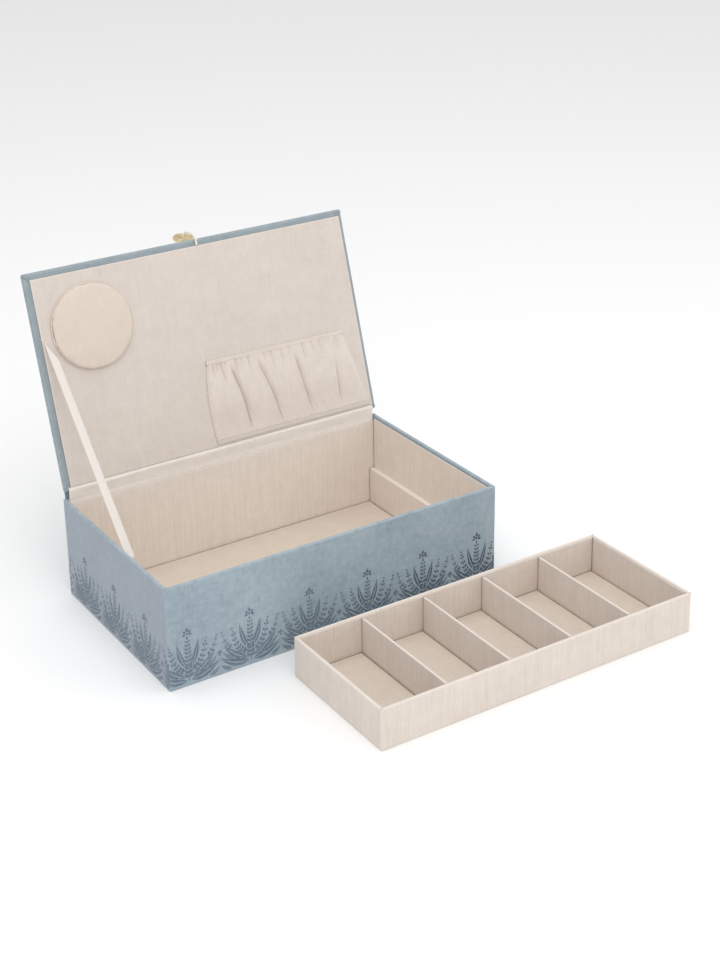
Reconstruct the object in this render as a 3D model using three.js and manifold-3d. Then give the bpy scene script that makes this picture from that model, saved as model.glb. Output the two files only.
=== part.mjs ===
// A cloth-covered sewing box with a hinged lid and a lift-out tray, in millimetres.
// +Z is up, +X runs to the right along the box and its front faces -Y.
// The origin is the middle of the box's base, on the surface that it stands on.
import * as THREE from 'three';
import * as BufferGeometryUtils from 'three/addons/utils/BufferGeometryUtils.js';
import Module from 'manifold-3d';

const wasm = await Module();
wasm.setup();

// Box: boards, the cloth round them and the lining cards inside
const boxLength = 356;
const boxDepth = 210;
const boxHeight = 102;
const boxCloth = 0.6;
const boxBoard = 2.2;
const boxBaseBoard = 3;
const boxCard = 0.9;
const boxTurnIn = 14;
const boxUnderTurn = 12;
const glueLine = 0.1;
const cardSeam = 0.3;
const rimToCard = 3.2;
const rimToBackCard = 6;
const ledgeThickness = 5.6;
const ledgeHeight = 43;
const boxShell = 2 * boxCloth + boxBoard + 2 * glueLine;
const boxWall = boxShell + glueLine + boxCard;

// Lid: it leans back past upright on its cloth hinge, held by the ribbon
const lidSideInset = 1;
const lidFrontOverhang = 0.3;
const hingeOutset = 0.7;
const lidLength = boxLength - 2 * lidSideInset;
const lidDepth = boxDepth + hingeOutset + lidFrontOverhang;
const lidThickness = 5.2;
const lidGap = 0.3;
const lidTurnIn = 16;
const lidLean = 17.3;
const liningLeftMargin = 6.5;
const liningRightMargin = 4;
const liningFrontMargin = 6.5;
const liningHingeMargin = 4.2;
const rimClearance = 0.4;

// Hinge cloths
const hingeCloth = 0.4;
const hingeClothInset = 5;
const spineInset = 2.5;
const spineGlued = 22;

// Pincushion on the lid's lining
const cushionDiameter = 84;
const cushionCrown = 5;
const cushionCard = 0.8;
const cushionFromLeft = 59;
const cushionFromHinge = 150;
const cushionSides = 48;
const cushionCardShare = 0.95;

// Gathered pocket on the lid's lining: the elastic draws its top in at both ends, and its left side bows
const pocketWidth = 182;
const pocketTopWidth = 159.6;
const pocketTopInset = 3.7;
const pocketSideBow = 3;
const pocketFromRight = 6;
const pocketBottom = 6.2;
const pocketLeftTop = 90.2;
const pocketRightTop = 88.6;
const pocketCloth = 0.6;
const pocketBulge = 2.6;
const pocketFoldDepth = 2;
const casingHeight = 4.4;
const casingThickness = 1.8;
const channelHeight = 3.2;
const elasticHeight = 2.6;
const elasticThickness = 0.4;
const hemHeight = 3.6;
const hemThickness = 0.9;

// Ribbon lid stay
const ribbonWidth = 8.4;
const ribbonThickness = 0.4;
const ribbonFromLeft = 12.2;
const ribbonUpLid = 143.5;
const ribbonFromFront = 77;
const ribbonBelowRim = 16;
const ribbonFan = 24;
const ribbonTwist = 26;

// Pull at the lid's front edge: a disc on a short cord
const discDiameter = 21;
const discThickness = 1.5;
const discHole = 4;
const discTilt = 26.7;
const discX = 2;
const discBeyondEdge = 2.2;
const discBehindLid = 10.8;
const cordDiameter = 2.2;
const knotDiameter = 3.8;

// Tray: as the box, with dividers, and standing beside the box
const trayEndClearance = 2.4;
const trayLength = boxLength - 2 * (boxWall + trayEndClearance);
const trayDepth = 139;
const trayHeight = 40.5;
const trayCloth = 0.5;
const trayBoard = 2;
const trayBaseBoard = 2;
const trayCard = 0.8;
const trayTurnIn = 9;
const trayUnderTurn = 10;
const trayRimToCard = 1.2;
const trayRimToDivider = 2;
const dividerThickness = 2.4;
const compartments = 5;
const trayLeftFromBoxLeft = 104.6;
const trayFrontFromBoxFront = 177.5;

// Finishes, as colour, roughness and metalness
const finish = (color, roughness, metalness = 0) =>
  new THREE.MeshStandardMaterial({ color, roughness, metalness });
const blueCloth = finish(0x97a6af, 0.95);
const linen = finish(0xddd1c6, 0.95);
const padLinen = finish(0xdfcfbd, 0.95);
const chipboard = finish(0xa8977f, 0.9);
const baseCloth = finish(0x8a969d, 0.95);
const satin = finish(0xe9e2de, 0.5);
const whiteCord = finish(0xece8e0, 0.8);
const whiteElastic = finish(0xe6e1da, 0.8);
const brass = finish(0xc9a655, 0.3, 1);

function piece(name, geometry, material) {
  const mesh = new THREE.Mesh(geometry, material);
  mesh.name = name;
  return mesh;
}

// A flat board or card between three pairs of bounds
function slab([x0, x1], [y0, y1], [z0, z1]) {
  const geometry = new THREE.BoxGeometry(x1 - x0, y1 - y0, z1 - z0);
  return geometry.translate((x0 + x1) / 2, (y0 + y1) / 2, (z0 + z1) / 2);
}

const span = (size) => [-size / 2, size / 2];

// Joining and cutting closed meshes
function toSolid(geometry) {
  const bare = geometry.clone();
  bare.deleteAttribute('normal');
  bare.deleteAttribute('uv');
  const merged = BufferGeometryUtils.mergeVertices(bare);
  return new wasm.Manifold(new wasm.Mesh({
    numProp: 3,
    vertProperties: new Float32Array(merged.attributes.position.array),
    triVerts: new Uint32Array(merged.index.array),
  }));
}

function toGeometry(solid) {
  const { vertProperties, triVerts } = solid.getMesh();
  const geometry = new THREE.BufferGeometry();
  geometry.setAttribute('position', new THREE.BufferAttribute(new Float32Array(vertProperties), 3));
  geometry.setIndex(new THREE.BufferAttribute(new Uint32Array(triVerts), 1));
  return geometry;
}

const joined = (geometries) => toGeometry(geometries.map(toSolid).reduce((a, b) => a.add(b)));
const cut = (body, tools) => toGeometry(tools.map(toSolid).reduce((a, b) => a.subtract(b), toSolid(body)));

function rectangle(width, height, PathType) {
  const path = new PathType();
  path.moveTo(-width / 2, -height / 2);
  path.lineTo(width / 2, -height / 2);
  path.lineTo(width / 2, height / 2);
  path.lineTo(-width / 2, height / 2);
  path.closePath();
  return path;
}

// A rectangular ring that runs in from its outer size by a band
function ring(length, depth, band, z0, z1) {
  const outline = rectangle(length, depth, THREE.Shape);
  outline.holes.push(rectangle(length - 2 * band, depth - 2 * band, THREE.Path));
  return new THREE.ExtrudeGeometry(outline, { depth: z1 - z0, bevelEnabled: false }).translate(0, 0, z0);
}

// An outline in the (y, z) plane run along x between two bounds
const outlineToSide = new THREE.Matrix4().makeBasis(
  new THREE.Vector3(0, 1, 0),
  new THREE.Vector3(0, 0, 1),
  new THREE.Vector3(1, 0, 0),
);
function runAlongX(outline, [x0, x1]) {
  return new THREE.ExtrudeGeometry(outline, { depth: x1 - x0, bevelEnabled: false })
    .applyMatrix4(outlineToSide)
    .translate(x0, 0, 0);
}

// Boards in a cloth cover that goes over the rim, down inside and in under the base
function coveredShell(prefix, size, clothMaterial) {
  const { length, depth, height, cloth, board, baseBoard, turnIn, underTurn } = size;
  const boardOut = cloth + glueLine;
  const boardIn = boardOut + board;
  const clothIn = boardIn + glueLine + cloth;
  const clothTurnOut = clothIn - cloth;
  const bottom = boardOut;
  const baseTop = bottom + baseBoard;
  const wallHeight = [bottom, height - boardOut];
  const halfLength = length / 2;
  const halfDepth = depth / 2;
  const wallAlong = span(length - 2 * boardOut);
  const wallAcross = span(depth - 2 * (boardIn + glueLine));
  const skin = ring(length, depth, cloth, 0, height);
  const rim = ring(length, depth, clothIn, height - cloth, height);
  const turned = ring(length - 2 * clothTurnOut, depth - 2 * clothTurnOut, cloth, height - turnIn, height);
  const under = ring(length, depth, underTurn, 0, cloth);
  const inner = { length: length - 2 * clothIn, depth: depth - 2 * clothIn, baseTop };
  const boardPiece = (name, x, y, z) => piece(`${prefix}${name}_board`, slab(x, y, z), chipboard);
  const underIn = underTurn + glueLine;
  const underCloth = slab(span(length - 2 * underIn), span(depth - 2 * underIn), [0, cloth]);
  const pieces = [
    boardPiece('base', span(length - 2 * (boardIn + glueLine)), wallAcross, [bottom, baseTop]),
    boardPiece('front_wall', wallAlong, [boardOut - halfDepth, boardIn - halfDepth], wallHeight),
    boardPiece('back_wall', wallAlong, [halfDepth - boardIn, halfDepth - boardOut], wallHeight),
    boardPiece('left_wall', [boardOut - halfLength, boardIn - halfLength], wallAcross, wallHeight),
    boardPiece('right_wall', [halfLength - boardIn, halfLength - boardOut], wallAcross, wallHeight),
    piece(`${prefix}outer_cloth`, joined([skin, rim, turned, under]), clothMaterial),
    piece(`${prefix}base_cloth`, underCloth, baseCloth),
  ];
  return { pieces, inner };
}

// Four cards that line the inside of the walls: the long ones run right through
function wallCards(prefix, inner, card, topZ, backTopZ) {
  const outX = inner.length / 2 - glueLine;
  const outY = inner.depth / 2 - glueLine;
  const along = [-outX, outX];
  const across = [-outY + card + cardSeam, outY - card - cardSeam];
  const foot = inner.baseTop + glueLine;
  return [
    piece(`${prefix}front_lining_card`, slab(along, [-outY, -outY + card], [foot, topZ]), linen),
    piece(`${prefix}back_lining_card`, slab(along, [outY - card, outY], [foot, backTopZ]), linen),
    piece(`${prefix}left_lining_card`, slab([-outX, -outX + card], across, [foot, topZ]), linen),
    piece(`${prefix}right_lining_card`, slab([outX - card, outX], across, [foot, topZ]), linen),
  ];
}

function buildBox() {
  const size = {
    length: boxLength,
    depth: boxDepth,
    height: boxHeight,
    cloth: boxCloth,
    board: boxBoard,
    baseBoard: boxBaseBoard,
    turnIn: boxTurnIn,
    underTurn: boxUnderTurn,
  };
  const { pieces, inner } = coveredShell('', size, blueCloth);
  const cards = wallCards('', inner, boxCard, boxHeight - rimToCard, boxHeight - rimToBackCard);
  const foot = inner.baseTop + glueLine;
  const liningX = inner.length / 2 - glueLine - boxCard;
  const liningY = inner.depth / 2 - glueLine - boxCard;
  const ledgeOut = liningX - glueLine;
  const ledgeIn = ledgeOut - ledgeThickness;
  const across = [-liningY + cardSeam, liningY - cardSeam];
  const ledges = [
    piece('left_ledge_card', slab([-ledgeOut, -ledgeIn], across, [foot, ledgeHeight]), linen),
    piece('right_ledge_card', slab([ledgeIn, ledgeOut], across, [foot, ledgeHeight]), linen),
  ];
  const floor = slab(span(2 * (ledgeIn - cardSeam)), across, [foot, foot + boxCard]);
  return [...pieces, ...cards, ...ledges, piece('floor_lining_card', floor, linen)];
}

// The lid has its own frame: x along the hinge, y from the hinge to the free edge,
// z from the outer face inward. Its origin is the hinge line, the outer face's back edge.
const hingeY = boxDepth / 2 + hingeOutset;
const hingeZ = boxHeight + rimClearance + boxCard + lidGap + lidThickness;
const lid = new THREE.Group();
lid.position.set(0, hingeY, hingeZ);
lid.rotation.x = THREE.MathUtils.degToRad(90 - lidLean);
lid.updateMatrixWorld(true);
const onLid = (x, y, z) => new THREE.Vector3(x, y, z).applyMatrix4(lid.matrixWorld);
const lidLeft = -lidLength / 2;
const liningBack = lidThickness + lidGap;
const liningFace = liningBack + boxCard;
const seat = liningFace + lidGap;

function buildLidShell() {
  const boardInset = boxCloth + lidGap;
  const overrun = lidThickness;
  const cavity = slab(
    span(lidLength - 2 * boxCloth),
    [boxCloth, lidDepth - boxCloth],
    [boxCloth, lidThickness - boxCloth],
  );
  const window = slab(
    span(lidLength - 2 * lidTurnIn),
    [lidTurnIn, lidDepth - lidTurnIn],
    [lidThickness / 2, lidThickness + overrun],
  );
  const block = slab(span(lidLength), [0, lidDepth], [0, lidThickness]);
  const board = slab(
    span(lidLength - 2 * boardInset),
    [boardInset, lidDepth - boardInset],
    [boardInset, lidThickness - boardInset],
  );
  const card = slab(
    [lidLeft + liningLeftMargin, -lidLeft - liningRightMargin],
    [liningHingeMargin, lidDepth - liningFrontMargin],
    [liningBack, liningFace],
  );
  return [
    piece('lid_board', board, chipboard),
    piece('lid_cover_cloth', cut(block, [cavity, window]), blueCloth),
    piece('lid_lining_card', card, linen),
  ];
}

// The pad's side is drawn in at its foot, and its crown is full: radius and height shares
const padOutlineShares = [
  [0.95, 0], [0.975, 0.1], [1, 0.3], [0.985, 0.52], [0.93, 0.7], [0.82, 0.84], [0.6, 0.95], [0.3, 0.99],
];

function buildPincushion() {
  const radius = cushionDiameter / 2;
  const profile = padOutlineShares.map(([r, h]) => new THREE.Vector2(r * radius, h * cushionCrown));
  const pad = new THREE.LatheGeometry(
    [new THREE.Vector2(0, 0), ...profile, new THREE.Vector2(0, cushionCrown)],
    cushionSides,
  );
  const cardRadius = radius * cushionCardShare;
  const card = new THREE.CylinderGeometry(cardRadius, cardRadius, cushionCard, cushionSides);
  const place = (geometry, height) => geometry.rotateX(Math.PI / 2)
    .translate(lidLeft + cushionFromLeft, cushionFromHinge, height);
  return [
    piece('pincushion_card', place(card, seat + cushionCard / 2), chipboard),
    piece('pincushion_pad', place(pad, seat + cushionCard + lidGap), padLinen),
  ];
}

// A thin closed cloth on a grid: surface(s, t) gives a point on its under face
function clothPanel(columns, rows, thickness, surface) {
  const positions = [];
  const index = [];
  const faceSize = (columns + 1) * (rows + 1);
  for (const rise of [0, thickness]) {
    for (let row = 0; row <= rows; row += 1) {
      for (let column = 0; column <= columns; column += 1) {
        const [x, y, z] = surface(column / columns, row / rows);
        positions.push(x, y, z + rise);
      }
    }
  }
  const at = (column, row, face) => face * faceSize + row * (columns + 1) + column;
  const quad = (a, b, c, d) => index.push(a, b, c, a, c, d);
  for (let row = 0; row < rows; row += 1) {
    for (let column = 0; column < columns; column += 1) {
      quad(at(column, row, 1), at(column + 1, row, 1), at(column + 1, row + 1, 1), at(column, row + 1, 1));
      quad(at(column, row, 0), at(column, row + 1, 0), at(column + 1, row + 1, 0), at(column + 1, row, 0));
    }
  }
  for (let column = 0; column < columns; column += 1) {
    quad(at(column, 0, 0), at(column + 1, 0, 0), at(column + 1, 0, 1), at(column, 0, 1));
    quad(at(column, rows, 1), at(column + 1, rows, 1), at(column + 1, rows, 0), at(column, rows, 0));
  }
  for (let row = 0; row < rows; row += 1) {
    quad(at(0, row, 1), at(0, row + 1, 1), at(0, row + 1, 0), at(0, row, 0));
    quad(at(columns, row, 0), at(columns, row + 1, 0), at(columns, row + 1, 1), at(columns, row, 1));
  }
  const geometry = new THREE.BufferGeometry();
  geometry.setAttribute('position', new THREE.Float32BufferAttribute(positions, 3));
  geometry.setIndex(index);
  return geometry;
}

// Folds of the pocket, each from its top to its foot, as shares of the pocket's width and height:
// x and y at the top, x and y at the foot, then its depth and its breadth
const pocketFoldShares = [
  [0.165, 0.95, 0.235, 0.05, 1, 0.016],
  [0.355, 0.93, 0.435, 0.03, 0.8, 0.016],
  [0.615, 0.76, 0.626, 0.06, 0.75, 0.014],
  [0.87, 0.6, 0.82, 0.1, 0.6, 0.012],
  [0.08, 0.98, 0.11, 0.6, 0.5, 0.012],
];
const pocketEdgeShare = 0.05;
const pocketFullShare = 0.55;
const pocketTopShare = 0.45;
const pocketColumns = 46;
const pocketRows = 10;

const smooth = THREE.MathUtils.smoothstep;

function foldDrop(s, t) {
  return pocketFoldShares.reduce((total, [xTop, yTop, xFoot, yFoot, depth, breadth]) => {
    const along = THREE.MathUtils.clamp((yTop - t) / (yTop - yFoot), 0, 1);
    const beside = (s - THREE.MathUtils.lerp(xTop, xFoot, along)) / breadth;
    const inSpan = smooth(t, yFoot - pocketEdgeShare, yFoot + pocketEdgeShare)
      * (1 - smooth(t, yTop - pocketEdgeShare, yTop + pocketEdgeShare));
    return total + depth * inSpan * Math.exp(-beside * beside);
  }, 0);
}

function buildPocket() {
  const right = -lidLeft - pocketFromRight;
  const left = right - pocketWidth;
  const slope = Math.atan2(pocketRightTop - pocketLeftTop, pocketTopWidth);
  const clothFoot = pocketBottom + hemHeight + lidGap;
  const topAt = (s) => THREE.MathUtils.lerp(pocketLeftTop, pocketRightTop, s) - casingHeight - lidGap;
  const surface = (s, t) => {
    const sides = smooth(s, 0, pocketEdgeShare) * (1 - smooth(s, 1 - pocketEdgeShare, 1));
    const drawnIn = (1 - pocketTopShare) * smooth(t, pocketFullShare, 1);
    const swell = pocketBulge * smooth(t, 0, pocketFullShare) * (1 - drawnIn);
    const lift = sides * Math.max(0, swell - pocketFoldDepth * foldDrop(s, t));
    const inset = pocketTopInset * t - pocketSideBow * (1 - s) * Math.sin(Math.PI * t);
    return [
      left + inset + s * THREE.MathUtils.lerp(pocketWidth, pocketTopWidth, t),
      THREE.MathUtils.lerp(clothFoot, topAt(s), t),
      seat + lift,
    ];
  };
  const casingOutline = rectangle(casingHeight, casingThickness, THREE.Shape);
  casingOutline.holes.push(rectangle(channelHeight, elasticThickness + 2 * lidGap, THREE.Path));
  const elasticOutline = rectangle(elasticHeight, elasticThickness, THREE.Shape);
  const topMiddle = [
    left + pocketTopInset + pocketTopWidth / 2,
    (pocketLeftTop + pocketRightTop - casingHeight) / 2,
    seat + casingThickness / 2,
  ];
  const strip = (outline, length) => runAlongX(outline, span(length))
    .rotateZ(slope)
    .translate(...topMiddle);
  const hem = slab([left, right], [pocketBottom, pocketBottom + hemHeight], [seat, seat + hemThickness]);
  return [
    piece('pocket_cloth', clothPanel(pocketColumns, pocketRows, pocketCloth, surface), linen),
    piece('pocket_casing', strip(casingOutline, pocketTopWidth), linen),
    piece('pocket_elastic', strip(elasticOutline, pocketTopWidth - 2 * lidGap), whiteElastic),
    piece('pocket_hem_tape', hem, linen),
  ];
}

// The cord leaves the lining's front edge, bends over the lid's edge and goes down through the disc.
// Its points are in the lid's frame.
const pullCordRoute = [
  [6.8, 204.9, 6.6], [6.9, 208.5, 6.6], [7, 211.4, 6.4], [7.1, 214.4, 3.6], [6.9, 216.8, -0.4],
  [5.7, 218.7, -4.8], [3.7, 218.6, -8.1], [2.3, 216.8, -9.2], [2, 214.8, -10], [2, 211.1, -11.9],
];
const cordSides = 8;
const cordSteps = 36;
const discSides = 36;
const knotSides = 16;
const knotRings = 10;

function buildPullCord() {
  const curve = new THREE.CatmullRomCurve3(pullCordRoute.map((point) => new THREE.Vector3(...point)));
  const section = new THREE.Shape();
  for (let side = 0; side < cordSides; side += 1) {
    const angle = (2 * Math.PI * side) / cordSides;
    const x = (cordDiameter / 2) * Math.cos(angle);
    const y = (cordDiameter / 2) * Math.sin(angle);
    if (side === 0) section.moveTo(x, y);
    else section.lineTo(x, y);
  }
  section.closePath();
  const options = { steps: cordSteps, extrudePath: curve, bevelEnabled: false };
  return piece('pull_cord', new THREE.ExtrudeGeometry(section, options), whiteCord);
}

function buildPullDisc() {
  const tilt = THREE.MathUtils.degToRad(discTilt);
  const centre = new THREE.Vector3(discX, lidDepth + discBeyondEdge, -discBehindLid);
  const ringProfile = [
    [discHole / 2, -discThickness / 2],
    [discDiameter / 2, -discThickness / 2],
    [discDiameter / 2, discThickness / 2],
    [discHole / 2, discThickness / 2],
    [discHole / 2, -discThickness / 2],
  ].map(([r, h]) => new THREE.Vector2(r, h));
  const disc = new THREE.LatheGeometry(ringProfile, discSides).rotateX(tilt).translate(...centre);
  const cordEnd = new THREE.Vector3(...pullCordRoute[pullCordRoute.length - 1]);
  const away = new THREE.Vector3(0, -Math.cos(tilt), -Math.sin(tilt));
  const knotCentre = cordEnd.addScaledVector(away, knotDiameter / 2 + lidGap);
  const knot = new THREE.SphereGeometry(knotDiameter / 2, knotSides, knotRings).translate(...knotCentre);
  return [
    piece('pull_disc', disc, brass),
    piece('pull_knot', knot, whiteCord),
  ];
}

// A strip of cloth bent along a line of (y, z) points and run along x
function bentStrip(points, thickness, bounds) {
  const normalOf = (a, b) => new THREE.Vector2(a.y - b.y, b.x - a.x).normalize();
  const offsets = points.map((point, i) => {
    const before = i > 0 ? normalOf(points[i - 1], point) : null;
    const after = i < points.length - 1 ? normalOf(point, points[i + 1]) : null;
    if (!before || !after) return (before ?? after).clone().multiplyScalar(thickness / 2);
    const mitre = before.clone().add(after).normalize();
    return mitre.multiplyScalar(thickness / 2 / mitre.dot(after));
  });
  const left = points.map((point, i) => point.clone().add(offsets[i]));
  const right = points.map((point, i) => point.clone().sub(offsets[i])).reverse();
  return runAlongX(new THREE.Shape([...left, ...right]), bounds);
}

function buildHingeCloths() {
  const sideView = (x, y, z) => {
    const point = onLid(x, y, z);
    return new THREE.Vector2(point.y, point.z);
  };
  const innerY = boxDepth / 2 - boxShell - glueLine - hingeCloth / 2;
  const innerZ = lidThickness + lidGap + hingeCloth / 2;
  const inner = [
    new THREE.Vector2(innerY, boxHeight - rimToBackCard + glueLine),
    new THREE.Vector2(innerY, boxHeight),
    sideView(0, 0, innerZ),
    sideView(0, liningHingeMargin - lidGap, innerZ),
  ];
  const outerY = boxDepth / 2 + glueLine + boxCloth / 2;
  const outerZ = -lidGap - boxCloth / 2;
  const outer = [
    new THREE.Vector2(outerY, boxHeight - spineGlued),
    new THREE.Vector2(outerY, boxHeight),
    sideView(0, 0, outerZ),
    sideView(0, spineGlued, outerZ),
  ];
  return [
    piece('hinge_cloth', bentStrip(inner, hingeCloth, span(boxLength - 2 * hingeClothInset)), linen),
    piece('spine_cloth', bentStrip(outer, boxCloth, span(boxLength - 2 * spineInset)), blueCloth),
  ];
}

const ribbonSteps = 96;

// The ribbon comes out beside the lining in a point and fans to its width. It faces forwards down to the
// box's rim, and below that turns flat against the left wall
function buildRibbon() {
  const half = ribbonThickness / 2;
  const top = onLid(lidLeft + ribbonFromLeft, ribbonUpLid, seat + half);
  const wallX = -boxLength / 2 + boxWall + lidGap + half;
  const foot = new THREE.Vector3(
    wallX + ribbonWidth / 2,
    ribbonFromFront - boxDepth / 2,
    boxHeight - ribbonBelowRim,
  );
  const length = foot.distanceTo(top);
  const along = foot.clone().sub(top).normalize();
  const flat = new THREE.Vector3(1, 0, 0).addScaledVector(along, -along.x).normalize();
  const upright = new THREE.Vector3().crossVectors(along, flat);
  const positions = [];
  const index = [];
  for (let step = 0; step <= ribbonSteps; step += 1) {
    const share = step / ribbonSteps;
    const turn = (Math.PI / 2) * smooth(share * length, length - ribbonTwist, length);
    const fan = smooth(share * length, -ribbonFan / 4, ribbonFan);
    const centre = top.clone().lerp(foot, share);
    centre.x -= (ribbonWidth / 2) * (1 - Math.cos(turn));
    const wide = flat.clone().multiplyScalar(Math.cos(turn)).addScaledVector(upright, Math.sin(turn));
    const thick = new THREE.Vector3().crossVectors(along, wide);
    for (const [w, t] of [[-1, -1], [1, -1], [1, 1], [-1, 1]]) {
      const reach = w < 0 ? -1 : 2 * fan - 1;
      const edge = centre.clone().addScaledVector(wide, (reach * ribbonWidth) / 2);
      positions.push(...edge.addScaledVector(thick, t * half));
    }
  }
  for (let step = 0; step < ribbonSteps; step += 1) {
    for (let side = 0; side < 4; side += 1) {
      const a = step * 4 + side;
      const b = step * 4 + ((side + 1) % 4);
      // both faces are split along the same diagonal, so that they keep apart where the ribbon turns
      if (side < 2) index.push(a, b, b + 4, a, b + 4, a + 4);
      else index.push(a, b, a + 4, b, b + 4, a + 4);
    }
  }
  const last = ribbonSteps * 4;
  index.push(0, 2, 1, 0, 3, 2, last, last + 1, last + 2, last, last + 2, last + 3);
  const geometry = new THREE.BufferGeometry();
  geometry.setAttribute('position', new THREE.Float32BufferAttribute(positions, 3));
  geometry.setIndex(index);
  return piece('lid_stay_ribbon', geometry, satin);
}

function buildTray() {
  const size = {
    length: trayLength,
    depth: trayDepth,
    height: trayHeight,
    cloth: trayCloth,
    board: trayBoard,
    baseBoard: trayBaseBoard,
    turnIn: trayTurnIn,
    underTurn: trayUnderTurn,
  };
  const { pieces, inner } = coveredShell('tray_', size, linen);
  const cardTop = trayHeight - trayRimToCard;
  const cards = wallCards('tray_', inner, trayCard, cardTop, cardTop);
  const foot = inner.baseTop + glueLine;
  const insideX = inner.length / 2 - glueLine - trayCard;
  const insideY = inner.depth / 2 - glueLine - trayCard;
  const across = [-insideY + cardSeam, insideY - cardSeam];
  const bay = (2 * insideX - (compartments - 1) * dividerThickness) / compartments;
  const pitch = bay + dividerThickness;
  const dividers = [];
  const floors = [];
  for (let i = 0; i < compartments; i += 1) {
    const left = -insideX + i * pitch;
    floors.push(piece(
      `tray_floor_card_${i + 1}`,
      slab([left + cardSeam, left + bay - cardSeam], across, [foot, foot + trayCard]),
      linen,
    ));
    if (i < compartments - 1) {
      dividers.push(piece(
        `tray_divider_${i + 1}`,
        slab([left + bay, left + pitch], across, [foot, trayHeight - trayRimToDivider]),
        linen,
      ));
    }
  }
  const tray = new THREE.Group();
  tray.position.set(
    -boxLength / 2 + trayLeftFromBoxLeft + trayLength / 2,
    -boxDepth / 2 - trayFrontFromBoxFront + trayDepth / 2,
    0,
  );
  tray.add(...pieces, ...cards, ...dividers, ...floors);
  return tray;
}

lid.add(...buildLidShell(), ...buildPincushion(), ...buildPocket(), buildPullCord(), ...buildPullDisc());

const sewingBox = new THREE.Group();
sewingBox.add(...buildBox(), ...buildHingeCloths(), buildRibbon(), lid, buildTray());

export default sewingBox;
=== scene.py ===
import bpy
import bmesh
import cmath
import math
from mathutils import Matrix, Vector, noise


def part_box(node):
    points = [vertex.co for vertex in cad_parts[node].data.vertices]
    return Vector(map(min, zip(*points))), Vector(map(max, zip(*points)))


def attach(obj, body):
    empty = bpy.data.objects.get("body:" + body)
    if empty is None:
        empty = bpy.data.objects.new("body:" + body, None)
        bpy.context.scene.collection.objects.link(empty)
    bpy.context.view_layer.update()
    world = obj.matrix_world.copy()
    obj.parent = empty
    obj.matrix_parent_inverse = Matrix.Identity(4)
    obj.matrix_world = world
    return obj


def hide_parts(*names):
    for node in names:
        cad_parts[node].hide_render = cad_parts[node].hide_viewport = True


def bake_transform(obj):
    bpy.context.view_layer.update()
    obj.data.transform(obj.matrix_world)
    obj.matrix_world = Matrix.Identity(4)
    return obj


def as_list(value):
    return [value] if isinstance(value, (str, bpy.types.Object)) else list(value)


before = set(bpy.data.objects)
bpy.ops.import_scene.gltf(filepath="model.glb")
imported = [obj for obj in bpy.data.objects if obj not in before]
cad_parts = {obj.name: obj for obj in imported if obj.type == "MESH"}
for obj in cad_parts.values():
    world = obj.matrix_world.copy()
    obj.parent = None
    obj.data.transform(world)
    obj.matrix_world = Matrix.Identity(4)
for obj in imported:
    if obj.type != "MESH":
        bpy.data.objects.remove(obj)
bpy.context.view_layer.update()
scene = bpy.context.scene
mm = 0.001
print("frame loaded:", len(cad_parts), "nodes")

# The lid's own frame: x along the hinge, y up to its free edge, z from its outer face inwards
lidLean = math.radians(17.3)
lidPlace = Matrix.Translation((0, 0.1057, 0.1088)) @ Matrix.Rotation(math.pi / 2 - lidLean, 4, "X")
upright = Matrix.Identity(4)


def onLid(x, y, z):
    return lidPlace @ Vector((x * mm, y * mm, z * mm))


def smoothStep(value, low, high):
    share = min(max((value - low) / (high - low), 0), 1)
    return share * share * (3 - 2 * share)


def angles(count):
    return [2 * math.pi * k / count for k in range(count)]


def bell(value, centre, breadth):
    return math.exp(-((value - centre) / breadth) ** 2)


def rough(x, y, seed):
    return noise.noise(Vector((x, y, seed)))


# Meshes are worked out in millimetres in their place's own frame, and kept in metres in the shared one
def meshPiece(name, points, faces, material, place=upright, edge=None, creaseShade=None, closed=True, smooth=True):
    mesh = bpy.data.meshes.new(name)
    mesh.from_pydata([place @ (Vector(p) * mm) for p in points], [], faces)
    # edge carries wear and painted highlight; creaseShade carries painted shade in creases, folds and joints
    for label, values in (("edge", edge), ("creaseShade", creaseShade)):
        if values is not None:
            mesh.attributes.new(label, "FLOAT", "POINT").data.foreach_set("value", values)
    if closed:
        work = bmesh.new()
        work.from_mesh(mesh)
        bmesh.ops.recalc_face_normals(work, faces=work.faces)
        work.to_mesh(mesh)
        work.free()
    mesh.shade_smooth() if smooth else mesh.shade_flat()
    mesh.materials.append(material)
    piece = bpy.data.objects.new(name, mesh)
    scene.collection.objects.link(piece)
    return piece


def softenCreases(piece, angle=50):
    work = bmesh.new()
    work.from_mesh(piece.data)
    for edge in work.edges:
        edge.smooth = not (len(edge.link_faces) == 2 and edge.calc_face_angle() > math.radians(angle))
    work.to_mesh(piece.data)
    work.free()


def asPlainMesh(piece):
    graph = bpy.context.evaluated_depsgraph_get()
    made = bpy.data.meshes.new_from_object(piece.evaluated_get(graph))
    piece.modifiers.clear()
    piece.data = made
    return piece


# The body that a piece moves with, and the plain node that it stands for
def dress(piece, body, node=None):
    if body:
        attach(piece, body)
    if node:
        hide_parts(node)


# Faces between rings of points, such as those of a tube
def ringFaces(rings, sides, looped=False):
    faces = []
    for i in range(rings if looped else rings - 1):
        here, ahead = i * sides, (i + 1) % rings * sides
        for k in range(sides):
            turn = (k + 1) % sides
            faces.append((here + k, here + turn, ahead + turn, ahead + k))
    return faces


# Faces of both sides of a sheet, and of its four edges
def sheetFaces(rows, columns):
    faces = []
    span = columns + 1
    sheet = (rows + 1) * span  # points in one side of the sheet
    for i in range(rows):
        for k in range(columns):
            a = i * span + k
            faces.append((a, a + 1, a + span + 1, a + span))
            faces.append((sheet + a, sheet + a + span, sheet + a + span + 1, sheet + a + 1))
        for k in (0, columns):
            a = i * span + k
            faces.append((a, a + span, sheet + a + span, sheet + a))
    for k in range(columns):
        for row in (0, rows * span):
            faces.append((row + k, row + k + 1, sheet + row + k + 1, sheet + row + k))
    return faces


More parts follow.
